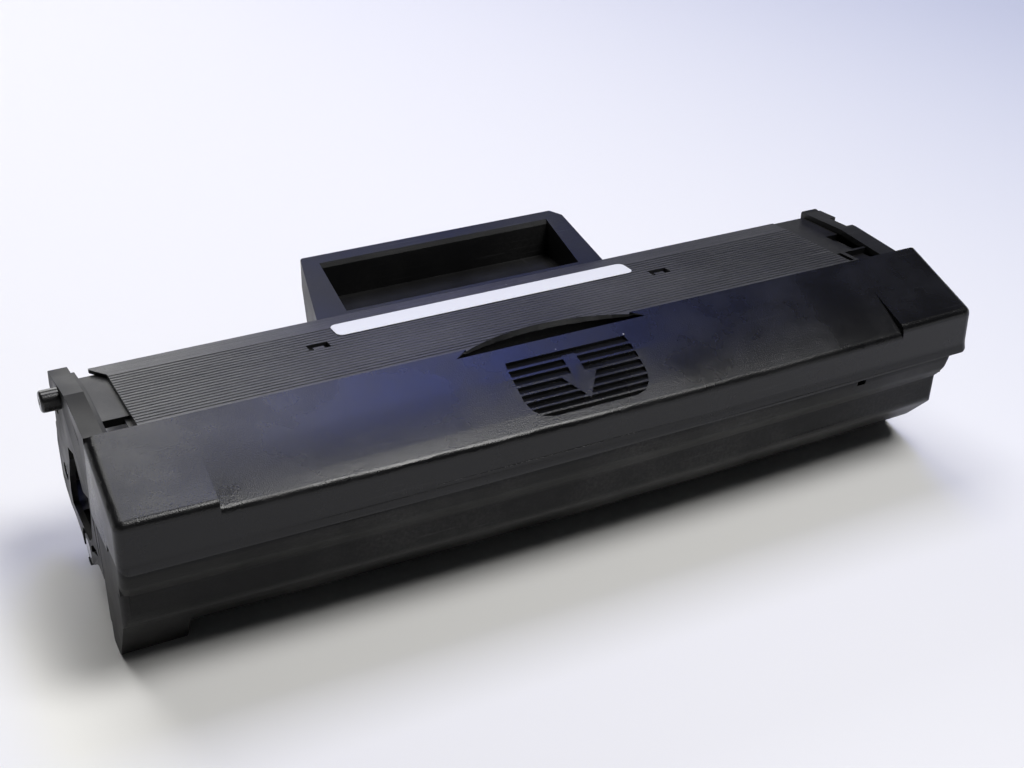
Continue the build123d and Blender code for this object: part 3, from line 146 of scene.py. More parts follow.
def grain_group():
    """Spark-eroded grain of a mould: small soft pits over a slow waviness."""
    tree, start, end = new_group("mould grain",
                                 [("Coordinate", "vector", None), ("Grains per metre", "float", 2200.0)],
                                 [("Height", "float")])
    fine = noise(tree, start.outputs["Coordinate"], start.outputs["Grains per metre"], 1.5, 0.6)
    pits = cells(tree, start.outputs["Coordinate"], start.outputs["Grains per metre"], "SMOOTH_F1")
    slow = noise(tree, start.outputs["Coordinate"], 60.0, 1.0)
    both = math_node(tree, "ADD", math_node(tree, "MULTIPLY", fine, 0.6),
                     math_node(tree, "MULTIPLY", pits, 0.5))
    link(tree, math_node(tree, "ADD", both, math_node(tree, "MULTIPLY", slow, 0.12)), end.inputs["Height"])
    return tree


def dust_group():
    """Powder that lies in patches and as scattered specks, most of it on faces that look up."""
    tree, start, end = new_group("powder dust",
                                 [("Coordinate", "vector", None), ("Patches per metre", "float", 22.0),
                                  ("Cover", "float", 0.4), ("Specks", "float", 0.3)],
                                 [("Mask", "float"), ("Speck", "float")])
    at = start.outputs["Coordinate"]
    patch = window(tree, noise(tree, at, start.outputs["Patches per metre"], 3.0, 0.5), 0.36, 0.78)
    fine = window(tree, noise(tree, at, 900.0, 3.0, 0.7), 0.35, 0.75)
    smear = math_node(tree, "MULTIPLY", patch,
                      math_node(tree, "ADD", math_node(tree, "MULTIPLY", fine, 0.6), 0.4))
    link(tree, math_node(tree, "MULTIPLY", smear, start.outputs["Cover"], True), end.inputs["Mask"])
    seed = cells(tree, at, 130.0, "F1", "Color")
    lone = tree.nodes.new("ShaderNodeSeparateColor")
    link(tree, seed, lone.inputs[0])
    chosen = math_node(tree, "GREATER_THAN", lone.outputs[0], 0.965)
    dot = window(tree, cells(tree, at, 130.0), 0.02, 0.045, 1.0, 0.0)
    link(tree, math_node(tree, "MULTIPLY", math_node(tree, "MULTIPLY", chosen, dot),
                         start.outputs["Specks"], True), end.inputs["Speck"])
    return tree


def rub_group():
    """Fine scratches that run along the cartridge, as left by sliding it in and out of a printer."""
    tree, start, end = new_group("sliding scratches",
                                 [("Coordinate", "vector", None), ("Density", "float", 0.5)],
                                 [("Mask", "float")])
    long = stretch(tree, start.outputs["Coordinate"], (25.0, 1500.0, 1500.0))
    across = stretch(tree, start.outputs["Coordinate"], (420.0, 60.0, 420.0))
    a = window(tree, noise(tree, long, 1.0, 2.0, 0.7), 0.6, 0.72)
    b = window(tree, noise(tree, across, 1.0, 2.0, 0.7), 0.66, 0.76)
    area = window(tree, noise(tree, start.outputs["Coordinate"], 26.0, 2.0), 0.42, 0.66)
    lines = math_node(tree, "MAXIMUM", a, math_node(tree, "MULTIPLY", b, 0.5))
    link(tree, math_node(tree, "MULTIPLY", math_node(tree, "MULTIPLY", lines, area),
                         start.outputs["Density"], True), end.inputs["Mask"])
    return tree


GRAIN = grain_group()
DUST = dust_group()
RUB = rub_group()


def material(name):
    m = bpy.data.materials.new(name)
    m.use_nodes = True
    tree = m.node_tree
    shader = tree.nodes["Principled BSDF"]
    at = tree.nodes.new("ShaderNodeTexCoord").outputs["Object"]
    return m, tree, shader, at


def group_node(tree, group, coordinate, **values):
    n = tree.nodes.new("ShaderNodeGroup")
    n.node_tree = group
    link(tree, coordinate, n.inputs["Coordinate"])
    for label, v in values.items():
        n.inputs[label.replace("_", " ")].default_value = v
    return n


def blend_colour(tree, factor, a, b):
    n = tree.nodes.new("ShaderNodeMix")
    n.data_type = "RGBA"
    if isinstance(factor, (int, float)):
        n.inputs["Factor"].default_value = factor
    else:
        link(tree, factor, n.inputs["Factor"])
    for label, v in (("A", a), ("B", b)):
        socket = [s for s in n.inputs if s.name == label and s.type == "RGBA"][0]
        if isinstance(v, tuple):
            socket.default_value = (*v, 1.0)
        else:
            link(tree, v, socket)
    return [s for s in n.outputs if s.type == "RGBA"][0]


def bump(tree, shader, height, distance, strength=1.0):
    n = tree.nodes.new("ShaderNodeBump")
    n.inputs["Distance"].default_value = distance
    n.inputs["Strength"].default_value = strength
    link(tree, height, n.inputs["Height"])
    link(tree, n.outputs["Normal"], shader.inputs["Normal"])


def facing_up(tree):
    """Mask of the faces that look up."""
    n = tree.nodes.new("ShaderNodeNewGeometry")
    split = tree.nodes.new("ShaderNodeSeparateXYZ")
    link(tree, n.outputs["Normal"], split.inputs[0])
    return window(tree, split.outputs["Z"], 0.1, 0.9)


DUST_GREY = (0.26, 0.255, 0.245)
SPECK_WHITE = (0.62, 0.61, 0.58)
PLATE_SPECK_WHITE = (0.65, 0.64, 0.6)
RUBBED_BLACK = (0.09, 0.09, 0.095)
SCRATCH_GREY = (0.2, 0.2, 0.2)
FLECK_GREY = (0.16, 0.16, 0.155)
LABEL_TONES = ((0.64, 0.645, 0.66), (0.71, 0.715, 0.73))
LABEL_SOIL = (0.5, 0.49, 0.47)


def moulded(name, base, grains, depth, rough, dust=0.35, patches=22.0, specks=0.6, rub=0.35, up_only=True,
            coat=0.0, shine=0.27, dust_tone=0.2):
    """Black moulded plastic: grain in the gloss, powder in patches, and sliding scratches."""
    m, tree, shader, at = material(name)
    grain = group_node(tree, GRAIN, at, Grains_per_metre=grains)
    powder = group_node(tree, DUST, at, Patches_per_metre=patches, Cover=dust, Specks=specks)
    marks = group_node(tree, RUB, at, Density=rub)
    slow = noise(tree, at, 14.0, 3.0)
    mask = powder.outputs["Mask"]
    if up_only:
        mask = math_node(tree, "MULTIPLY", mask,
                         math_node(tree, "ADD", math_node(tree, "MULTIPLY", facing_up(tree), 0.75), 0.25))
    plain = blend_colour(tree, slow, tuple(c * 0.8 for c in base), tuple(c * 1.25 for c in base))
    rubbed = blend_colour(tree, math_node(tree, "MULTIPLY", marks.outputs["Mask"], 0.35), plain,
                          RUBBED_BLACK)
    dusty = blend_colour(tree, math_node(tree, "MULTIPLY", mask, dust_tone), rubbed, DUST_GREY)
    link(tree, blend_colour(tree, powder.outputs["Speck"], dusty, SPECK_WHITE), shader.inputs["Base Color"])
    uneven = window(tree, noise(tree, at, 45.0, 4.0, 0.6), 0.3, 0.7, rough - 0.05, rough + 0.07)
    link(tree, math_node(tree, "ADD", uneven, math_node(tree, "MULTIPLY", mask, 0.12), True),
         shader.inputs["Roughness"])
    shader.inputs["Coat Weight"].default_value = coat
    shader.inputs["Specular IOR Level"].default_value = shine
    height = math_node(tree, "SUBTRACT", grain.outputs["Height"],
                       math_node(tree, "MULTIPLY", marks.outputs["Mask"], 0.3))
    bump(tree, shader, height, depth)
    return m


def brushed_plastic(name, base, rough):
    """Ribbed plate: satin black, brushed along the ribs, with light flecks and greyer rubbed parts."""
    m, tree, shader, at = material(name)
    strokes = noise(tree, stretch(tree, at, (60.0, 2600.0, 2600.0)), 1.0, 3.0, 0.65)
    dashes = noise(tree, stretch(tree, at, (420.0, 2600.0, 2600.0)), 1.0, 2.0, 0.7)
    powder = group_node(tree, DUST, at, Patches_per_metre=18.0, Cover=0.5, Specks=0.8)
    marks = group_node(tree, RUB, at, Density=0.8)
    rubbed = window(tree, noise(tree, at, 11.0, 3.0), 0.38, 0.68)
    plain = blend_colour(tree, window(tree, strokes, 0.35, 0.7), tuple(c * 0.7 for c in base),
                         tuple(c * 1.5 for c in base))
    worn = blend_colour(tree, math_node(tree, "MULTIPLY", rubbed, 0.25), plain, RUBBED_BLACK)
    scratched = blend_colour(tree, math_node(tree, "MULTIPLY", marks.outputs["Mask"], 0.4), worn,
                             SCRATCH_GREY)
    flecked = blend_colour(tree, window(tree, dashes, 0.56, 0.7, 0.0, 0.2), scratched, FLECK_GREY)
    dusty = blend_colour(tree, math_node(tree, "MULTIPLY", powder.outputs["Mask"], 0.16), flecked,
                         DUST_GREY)
    link(tree, blend_colour(tree, powder.outputs["Speck"], dusty, PLATE_SPECK_WHITE),
         shader.inputs["Base Color"])
    link(tree, window(tree, strokes, 0.3, 0.7, rough - 0.06, rough + 0.1), shader.inputs["Roughness"])
    shader.inputs["Specular IOR Level"].default_value = 0.58
    bump(tree, shader, strokes, 0.1 * MM, 0.8)
    return m


def plain_finish(name, base, rough, metal=0.0, grain=1800.0, depth=0.01, vary=0.25, smear=0.15,
                 soil=(0.03, 0.03, 0.03)):
    """Small inner parts: even colour with slow variation and black powder rubbed over it."""
    m, tree, shader, at = material(name)
    slow = noise(tree, at, 70.0, 4.0, 0.6)
    powder = group_node(tree, DUST, at, Patches_per_metre=60.0, Cover=1.0, Specks=0.2)
    plain = blend_colour(tree, slow, tuple(c * (1 - vary) for c in base),
                         tuple(min(1.0, c * (1 + vary)) for c in base))
    link(tree, blend_colour(tree, math_node(tree, "MULTIPLY", powder.outputs["Mask"], smear), plain, soil),
         shader.inputs["Base Color"])
    link(tree, window(tree, noise(tree, at, 300.0, 3.0), 0.3, 0.7, max(0.03, rough - 0.06), rough + 0.08),
         shader.inputs["Roughness"])
    shader.inputs["Metallic"].default_value = metal
    bump(tree, shader, noise(tree, at, grain, 2.0), depth * MM, 0.7)
    return m


def turned_metal(name, base, rough):
    """Ground steel rod: rings round the X axis."""
    m, tree, shader, at = material(name)
    rings = noise(tree, stretch(tree, at, (2400.0, 30.0, 30.0)), 1.0, 3.0, 0.7)
    link(tree, blend_colour(tree, rings, tuple(c * 0.85 for c in base), base), shader.inputs["Base Color"])
    link(tree, window(tree, rings, 0.3, 0.7, rough - 0.06, rough + 0.1), shader.inputs["Roughness"])
    shader.inputs["Metallic"].default_value = 1.0
    bump(tree, shader, rings, 0.01 * MM, 0.6)
    return m


def paper(name):
    """White coated paper with a faint fibre and a little soil."""
    m, tree, shader, at = material(name)
    fibre = noise(tree, stretch(tree, at, (500.0, 900.0, 900.0)), 1.0, 4.0, 0.6)
    soil = group_node(tree, DUST, at, Patches_per_metre=50.0, Cover=0.5, Specks=0.0)
    plain = blend_colour(tree, fibre, *LABEL_TONES)
    link(tree, blend_colour(tree, math_node(tree, "MULTIPLY", soil.outputs["Mask"], 0.14), plain,
                            LABEL_SOIL), shader.inputs["Base Color"])
    link(tree, window(tree, fibre, 0.3, 0.7, 0.38, 0.5), shader.inputs["Roughness"])
    bump(tree, shader, fibre, 0.02 * MM, 0.5)
    return m


def foam(name):
    """Open-celled roller foam, with painted shade in the hollows of its pores."""
    m, tree, shader, at = material(name)
    pores = cells(tree, at, 1400.0)
    # painted shade: the pore hollows, low in the bump, are coloured darker
    link(tree, blend_colour(tree, window(tree, pores, 0.1, 0.7), (0.012, 0.012, 0.013),
                            (0.07, 0.07, 0.075)), shader.inputs["Base Color"])
    shader.inputs["Roughness"].default_value = 0.95
    bump(tree, shader, pores, 0.25 * MM)
    return m


def coated_drum(name):
    """Light-sensitive coat on aluminium: a smooth tinted gloss with faint rings from use."""
    m, tree, shader, at = material(name)
    rings = noise(tree, stretch(tree, at, (900.0, 8.0, 8.0)), 1.0, 3.0, 0.6)
    worn = window(tree, noise(tree, stretch(tree, at, (160.0, 3.0, 3.0)), 1.0, 2.0), 0.5, 0.75)
    tint = blend_colour(tree, rings, (0.05, 0.2, 0.21), (0.07, 0.26, 0.26))
    link(tree, blend_colour(tree, math_node(tree, "MULTIPLY", worn, 0.2), tint, (0.2, 0.36, 0.33)),
         shader.inputs["Base Color"])
    link(tree, window(tree, rings, 0.3, 0.7, 0.1, 0.2), shader.inputs["Roughness"])
    shader.inputs["Metallic"].default_value = 0.35
    shader.inputs["Coat Weight"].default_value = 0.6
    shader.inputs["Coat Roughness"].default_value = 0.08
    return m


def clear_film(name, base, alpha):
    """Thin polyester film that lets some light through."""
    m, tree, shader, at = material(name)
    haze = noise(tree, at, 90.0, 4.0)
    link(tree, blend_colour(tree, haze, tuple(c * 0.8 for c in base), base), shader.inputs["Base Color"])
    link(tree, window(tree, haze, 0.3, 0.7, alpha - 0.1, alpha + 0.1), shader.inputs["Alpha"])
    shader.inputs["Roughness"].default_value = 0.22
    return m


HOOD_BLACK = (0.0042, 0.0042, 0.0045)
finishes = {
    "hood_mould": moulded("hood_mould", HOOD_BLACK, 2900.0, 0.06 * MM, 0.27, dust=0.3, rub=0.25,
                          dust_tone=0.08, shine=0.33),
    "hopper_mould": moulded("hopper_mould", (0.0035, 0.0035, 0.0037), 2300.0, 0.06 * MM, 0.46, dust=0.9,
                            patches=26.0, rub=0.5, up_only=False, dust_tone=0.16, shine=0.17),
    "frame_mould": moulded("frame_mould", (0.0045, 0.0045, 0.0048), 2600.0, 0.05 * MM, 0.4, dust=0.6,
                           rub=0.55, up_only=False, dust_tone=0.1, shine=0.3),
    "cap_mould": moulded("cap_mould", (0.0042, 0.0042, 0.0044), 3000.0, 0.03 * MM, 0.42, dust=0.5, rub=0.6,
                         up_only=False, dust_tone=0.12, shine=0.2),
    "pin_mould": moulded("pin_mould", (0.004, 0.004, 0.0042), 3600.0, 0.01 * MM, 0.2, dust=0.3, rub=0.3,
                         up_only=False, coat=0.2, shine=0.45),
    "ribbed_plastic": brushed_plastic("ribbed_plastic", (0.006, 0.006, 0.0068), 0.38),
    "label_paper": paper("label_paper"),
    "gear_acetal": plain_finish("gear_acetal", (0.022, 0.022, 0.023), 0.36, smear=0.5),
    "natural_acetal": plain_finish("natural_acetal", (0.62, 0.6, 0.53), 0.4, smear=0.5),
    "drum_coat": coated_drum("drum_coat"),
    "roller_rubber": plain_finish("roller_rubber", (0.02, 0.02, 0.021), 0.6, grain=2600.0, depth=0.03),
    "roller_foam": foam("roller_foam"),
    "blade_rubber": plain_finish("blade_rubber", (0.33, 0.26, 0.17), 0.35, smear=0.6),
    "steel": turned_metal("steel", (0.6, 0.6, 0.6), 0.22),
    "spring_steel": plain_finish("spring_steel", (0.62, 0.62, 0.6), 0.25, metal=1.0, smear=0.2),
    "sheet_steel": plain_finish("sheet_steel", (0.56, 0.57, 0.58), 0.32, metal=1.0, smear=0.3),
    "contact_metal": plain_finish("contact_metal", (0.7, 0.62, 0.42), 0.3, metal=1.0, smear=0.35),
    "board": plain_finish("board", (0.02, 0.15, 0.06), 0.3, smear=0.2),
    "film": clear_film("film", (0.35, 0.35, 0.36), 0.6),
    "felt": plain_finish("felt", (0.16, 0.15, 0.13), 0.95, grain=1200.0, depth=0.3, smear=0.7),
}

nodes_in_finish = {
    "hood_mould": ["front_hood"],
    "hopper_mould": ["toner_hopper"],
    "frame_mould": ["drum_frame"],
    "cap_mould": ["drive_end_cap", "drive_liner", "contact_end_cap"],
    "pin_mould": ["guide_pin"],
    "ribbed_plastic": ["ribbed_top_cover"],
    "label_paper": ["label"],
    "gear_acetal": ["drum_drive_gear", "drum_right_flange", "developer_gear", "supply_gear",
                    "idler_gear", "agitator_gear"],
    "natural_acetal": ["fill_plug", "agitator_shaft", "charge_blocks", "developer_bushes",
                       "supply_bushes", "agitator_bushes"],
    "drum_coat": ["drum_tube"],
    "roller_rubber": ["developer_sleeve", "charge_rubber"],
    "roller_foam": ["supply_foam"],
    "blade_rubber": ["wiper_blade"],
    "steel": ["drum_axles", "developer_shaft", "supply_shaft", "charge_shaft", "idler_pin"],
    "spring_steel": ["charge_springs", "doctor_blade", "drum_contact"],
    "sheet_steel": ["doctor_bracket", "wiper_bracket", "case_screws", "doctor_screws"],
    "contact_metal": ["developer_contact", "chip_pads"],
    "board": ["chip_board"],
    "film": ["agitator_film", "waste_film"],
    "felt": ["drum_end_seals"],
}

for finish, names in nodes_in_finish.items():
    for name in names:
        cad[name].data.materials.clear()
        cad[name].data.materials.append(finishes[finish])


def crisp_folds(node, angle):
    """Keeps shallow folds of a moulding from being shaded over."""
    split = node.modifiers.new("crisp folds", "EDGE_SPLIT")
    split.use_edge_angle = True
    split.split_angle = math.radians(angle)


def soften(node, width, segments=2, angle=28.0):
    """Breaks a CAD node's sharp edges: its triangles are welded, flat faces joined, then bevelled."""
    weld = node.modifiers.new("weld", "WELD")
    weld.merge_threshold = 0.002 * MM
    flat = node.modifiers.new("flat faces", "DECIMATE")
    flat.decimate_type = "DISSOLVE"
    flat.angle_limit = math.radians(0.6)
    edge = node.modifiers.new("broken edges", "BEVEL")
    edge.width = width
    edge.segments = segments
    edge.limit_method = "ANGLE"
    edge.angle_limit = math.radians(angle)
    edge.use_clamp_overlap = True
    edge.harden_normals = False
    for p in node.data.polygons:
        p.use_smooth = True
    keep = node.modifiers.new("even shading", "WEIGHTED_NORMAL")
    keep.keep_sharp = True
    keep.weight = 80


# Width of each broken edge, in millimetres
edge_break = {
    "front_hood": 0.35,
    "toner_hopper": 0.4,
    "drum_frame": 0.3,
    "drive_end_cap": 0.25,
    "contact_end_cap": 0.3,
    "guide_pin": 0.15,
    "ribbed_top_cover": 0.16,
    "label": 0.04,
    "drive_liner": 0.1,
    "drum_drive_gear": 0.08,
    "developer_gear": 0.08,
    "idler_gear": 0.08,
    "agitator_gear": 0.08,
    "supply_gear": 0.08,
}
for name, width in edge_break.items():
    soften(cad[name], width * MM)
crisp_folds(cad["drive_end_cap"], 9.0)


# Screws and springs, grown by Geometry Nodes on the seats that the CAD gives them

NUMBER = "NodeSocketFloat"


def geometry_tree(name, inputs):
    """Tree that takes seat points and named sizes, and ends in one mesh."""
    tree = bpy.data.node_groups.new(name, "GeometryNodeTree")
    tree.interface.new_socket(name="Seats", in_out="INPUT", socket_type="NodeSocketGeometry")
    for label, value in inputs:
        tree.interface.new_socket(name=label, in_out="INPUT", socket_type=NUMBER).default_value = value
    tree.interface.new_socket(name="Finish", in_out="INPUT", socket_type="NodeSocketMaterial")
    tree.interface.new_socket(name="Piece", in_out="OUTPUT", socket_type="NodeSocketGeometry")
    return tree, tree.nodes.new("NodeGroupInput"), tree.nodes.new("NodeGroupOutput")


def set_input(tree, node, label, value):
    if isinstance(value, bpy.types.NodeSocket):
        link(tree, value, node.inputs[label])
    else:
        node.inputs[label].default_value = value


def shape_node(tree, kind, **values):
    n = tree.nodes.new(kind)
    for label, value in values.items():
        set_input(tree, n, label.replace("_", " "), value)
    return n.outputs[0]


def vector_of(tree, x=0.0, y=0.0, z=0.0):
    n = tree.nodes.new("ShaderNodeCombineXYZ")
    for label, value in zip("XYZ", (x, y, z)):
        set_input(tree, n, label, value)
    return n.outputs[0]


def lifted(tree, shape, z):
    """The shape moved up its own axis."""
    n = tree.nodes.new("GeometryNodeTransform")
    link(tree, shape, n.inputs["Geometry"])
    link(tree, vector_of(tree, z=z), n.inputs["Translation"])
    return n.outputs[0]


def cut(tree, operation, first, others):
    n = tree.nodes.new("GeometryNodeMeshBoolean")
    n.operation = operation
    if operation == "DIFFERENCE":
        link(tree, first, n.inputs["Mesh 1"])
    else:
        link(tree, first, n.inputs["Mesh 2"])
    for other in others:
        link(tree, other, n.inputs["Mesh 2"])
    return n.outputs["Mesh"]


def cylinder_node(tree, radius, depth, sides):
    n = tree.nodes.new("GeometryNodeMeshCylinder")
    n.inputs["Vertices"].default_value = sides
    set_input(tree, n, "Radius", radius)
    set_input(tree, n, "Depth", depth)
    return n.outputs["Mesh"]


def swept(tree, path, radius, sides):
    """Round wire along a path."""
    ring = tree.nodes.new("GeometryNodeCurvePrimitiveCircle")
    ring.inputs["Resolution"].default_value = sides
    set_input(tree, ring, "Radius", radius)
    n = tree.nodes.new("GeometryNodeCurveToMesh")
    link(tree, path, n.inputs["Curve"])
    link(tree, ring.outputs["Curve"], n.inputs["Profile Curve"])
    n.inputs["Fill Caps"].default_value = True
    return n.outputs["Mesh"]


def spiral(tree, turns, radius, height, steps):
    n = tree.nodes.new("GeometryNodeCurveSpiral")
    n.inputs["Resolution"].default_value = steps
    for label, value in (("Rotations", turns), ("Start Radius", radius), ("End Radius", radius),
                         ("Height", height)):
        set_input(tree, n, label, value)
    return n.outputs["Curve"]


def planted(tree, start, end, shapes):
    """Joins the shapes and puts a real copy on each seat, with Z along the seat's direction."""
    join = tree.nodes.new("GeometryNodeJoinGeometry")
    for shape in shapes:
        link(tree, shape, join.inputs["Geometry"])
    toward = tree.nodes.new("GeometryNodeInputNamedAttribute")
    toward.data_type = "FLOAT_VECTOR"
    toward.inputs["Name"].default_value = "direction"
    turn = tree.nodes.new("FunctionNodeAlignRotationToVector")
    turn.axis = "Z"
    link(tree, toward.outputs["Attribute"], turn.inputs["Vector"])
    copies = tree.nodes.new("GeometryNodeInstanceOnPoints")
    link(tree, start.outputs["Seats"], copies.inputs["Points"])
    link(tree, join.outputs["Geometry"], copies.inputs["Instance"])
    link(tree, turn.outputs["Rotation"], copies.inputs["Rotation"])
    real = tree.nodes.new("GeometryNodeRealizeInstances")
    link(tree, copies.outputs["Instances"], real.inputs["Geometry"])
    dress = tree.nodes.new("GeometryNodeSetMaterial")
    link(tree, real.outputs["Geometry"], dress.inputs["Geometry"])
    link(tree, start.outputs["Finish"], dress.inputs["Material"])
    link(tree, dress.outputs["Geometry"], end.inputs["Piece"])


def screw_tree():
    """Pan-head screw with a cross recess and a rolled thread; Z runs from the head's crown inward."""
    sizes = [("Head radius", 2.6 * MM), ("Head height", 1.1 * MM), ("Crown", 0.45 * MM),
             ("Shank radius", 1.4 * MM), ("Length", 12.0 * MM), ("Recess width", 0.6 * MM),
             ("Recess depth", 0.7 * MM), ("Thread pitch", 1.1 * MM), ("Thread height", 0.22 * MM)]
    tree, start, end = geometry_tree("cross recess screw", sizes)
    size = start.outputs
    head_square = math_node(tree, "POWER", size["Head radius"], 2.0)
    crown_square = math_node(tree, "POWER", size["Crown"], 2.0)
    crown_radius = math_node(tree, "DIVIDE", math_node(tree, "ADD", head_square, crown_square),
                             math_node(tree, "MULTIPLY", size["Crown"], 2.0))
    ball = tree.nodes.new("GeometryNodeMeshUVSphere")
    ball.inputs["Segments"].default_value = 40
    ball.inputs["Rings"].default_value = 60
    link(tree, crown_radius, ball.inputs["Radius"])
    disc = lifted(tree, cylinder_node(tree, size["Head radius"], size["Head height"], 40),
                  math_node(tree, "MULTIPLY", size["Head height"], 0.5))
    head = cut(tree, "INTERSECT", disc, [lifted(tree, ball.outputs["Mesh"], crown_radius)])
    arm = math_node(tree, "MULTIPLY", size["Head radius"], 1.15)
    twice = math_node(tree, "MULTIPLY", size["Recess depth"], 2.0)
    bars = [shape_node(tree, "GeometryNodeMeshCube", Size=vector_of(tree, *pair, twice))
            for pair in ((arm, size["Recess width"]), (size["Recess width"], arm))]
    head = cut(tree, "DIFFERENCE", head, bars)
    run = math_node(tree, "SUBTRACT", size["Length"], size["Head height"])
    core = math_node(tree, "SUBTRACT", size["Shank radius"], size["Thread height"])
    shank = lifted(tree, cylinder_node(tree, core, run, 24),
                   math_node(tree, "ADD", size["Head height"], math_node(tree, "MULTIPLY", run, 0.5)))
    threaded = math_node(tree, "MULTIPLY", run, 0.86)
    turns = math_node(tree, "DIVIDE", threaded, size["Thread pitch"])
    thread = swept(tree, spiral(tree, turns, core, threaded, 20), size["Thread height"], 5)
    thread = lifted(tree, thread,
                    math_node(tree, "ADD", size["Head height"], math_node(tree, "MULTIPLY", run, 0.1)))
    planted(tree, start, end, [head, shank, thread])
    return tree


def spring_tree():
    """Compression spring with closed end turns; Z runs along its axis."""
    sizes = [("Coil radius", 1.8 * MM), ("Wire radius", 0.28 * MM), ("Height", 8.0 * MM), ("Turns", 5.0)]
    tree, start, end = geometry_tree("closed end spring", sizes)
    size = start.outputs
    coils = swept(tree, spiral(tree, size["Turns"], size["Coil radius"], size["Height"], 28),
                  size["Wire radius"], 10)
    ring = tree.nodes.new("GeometryNodeCurvePrimitiveCircle")
    ring.inputs["Resolution"].default_value = 28
    link(tree, size["Coil radius"], ring.inputs["Radius"])
    seat = swept(tree, ring.outputs["Curve"], size["Wire radius"], 10)
    planted(tree, start, end, [coils, seat, lifted(tree, seat, size["Height"])])
    return tree


def grown(name, tree, seats, sizes, finish, sharp=35.0):
    """Plain mesh that a tree makes on its seats, each given as a place and a direction."""
    points = bpy.data.meshes.new(name + " seats")
    points.from_pydata([place for place, _ in seats], [], [])
    toward = points.attributes.new("direction", "FLOAT_VECTOR", "POINT")
    for i, (_, direction) in enumerate(seats):
        toward.data[i].vector = direction
    piece = bpy.data.objects.new(name, points)
    bpy.context.scene.collection.objects.link(piece)
    maker = piece.modifiers.new("tree", "NODES")
    maker.node_group = tree
    sockets = {item.name: item.identifier for item in tree.interface.items_tree if item.in_out == "INPUT"}
    for label, value in sizes.items():
        maker[sockets[label]] = value
    maker[sockets["Finish"]] = finish
    graph = bpy.context.evaluated_depsgraph_get()
    made = bpy.data.meshes.new_from_object(piece.evaluated_get(graph), preserve_all_data_layers=True,
                                           depsgraph=graph)
    piece.modifiers.remove(maker)
    piece.data = made
    made.name = name
    made.shade_smooth()
    made.set_sharp_from_angle(angle=math.radians(sharp))
    return piece


def solids_of(node):
    """Boxes of the separate solids in a CAD node, from left to right."""
    shape = bmesh.new()
    shape.from_mesh(cad[node].data)
    bmesh.ops.remove_doubles(shape, verts=shape.verts, dist=0.001 * MM)
    left = set(shape.verts)
    boxes = []
    while left:
        group = [left.pop()]
        for v in group:
            for e in v.link_edges:
                other = e.other_vert(v)
                if other in left:
                    left.remove(other)
                    group.append(other)
        low = Vector(min(v.co[i] for v in group) for i in range(3))
        high = Vector(max(v.co[i] for v in group) for i in range(3))
        boxes.append((low, high))
    shape.free()
    return sorted(boxes, key=lambda b: b[0].x)


def stands_for(piece, node, body):
    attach(piece, body)
    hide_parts(node)


SCREW = screw_tree()
SPRING = spring_tree()

seats = []
for low, high in solids_of("case_screws"):
    middle = (low + high) / 2
    inward = 1 if middle.x < 0 else -1
    seats.append((Vector((low.x if inward > 0 else high.x, middle.y, middle.z)), Vector((inward, 0, 0))))
head_radius = (high.y - low.y) / 2
piece = grown("case_screw_set", SCREW, seats, {"Head radius": head_radius, "Length": high.x - low.x},
              finishes["sheet_steel"])
stands_for(piece, "case_screws", "frame")

seats = []
for low, high in solids_of("doctor_screws"):
    middle = (low + high) / 2
    seats.append((Vector((middle.x, high.y, middle.z)), Vector((0, -1, 0))))
sizes = {"Head radius": (high.z - low.z) / 2, "Head height": 1.4 * MM, "Shank radius": 1.3 * MM,
         "Length": high.y - low.y}
piece = grown("doctor_screw_set", SCREW, seats, sizes, finishes["sheet_steel"])
stands_for(piece, "doctor_screws", "frame")

WIRE = 0.28 * MM
seats = []
for low, high in solids_of("charge_springs"):
    middle = (low + high) / 2
    seats.append((Vector((middle.x, middle.y, low.z + WIRE)), Vector((0, 0, 1))))
sizes = {"Coil radius": (high.x - low.x) / 2 - WIRE, "Wire radius": WIRE,
         "Height": high.z - low.z - 2 * WIRE}
piece = grown("charge_spring_pair", SPRING, seats, sizes, finishes["spring_steel"], 60.0)
stands_for(piece, "charge_springs", "frame")


# Rim of the thumb recess: a sloping crescent along its arc, widest in the middle

THUMB_MIDDLE_X = 1.6061 * MM
THUMB_CHORD_Y = -23.45 * MM
THUMB_ARC_Y = -13.55 * MM
THUMB_HALF = 31.6 * MM
RIM_WIDTH = 1.1 * MM
RIM_DROP = 1.3 * MM
RIM_STEPS = 48
RIM_END = 0.985
RIM_THIN_END = 0.04
RIM_UNDER_TOP = 0.04 * MM
RIM_IN_WALL = 0.02 * MM
BESIDE_RECESS = 0.35 * MM


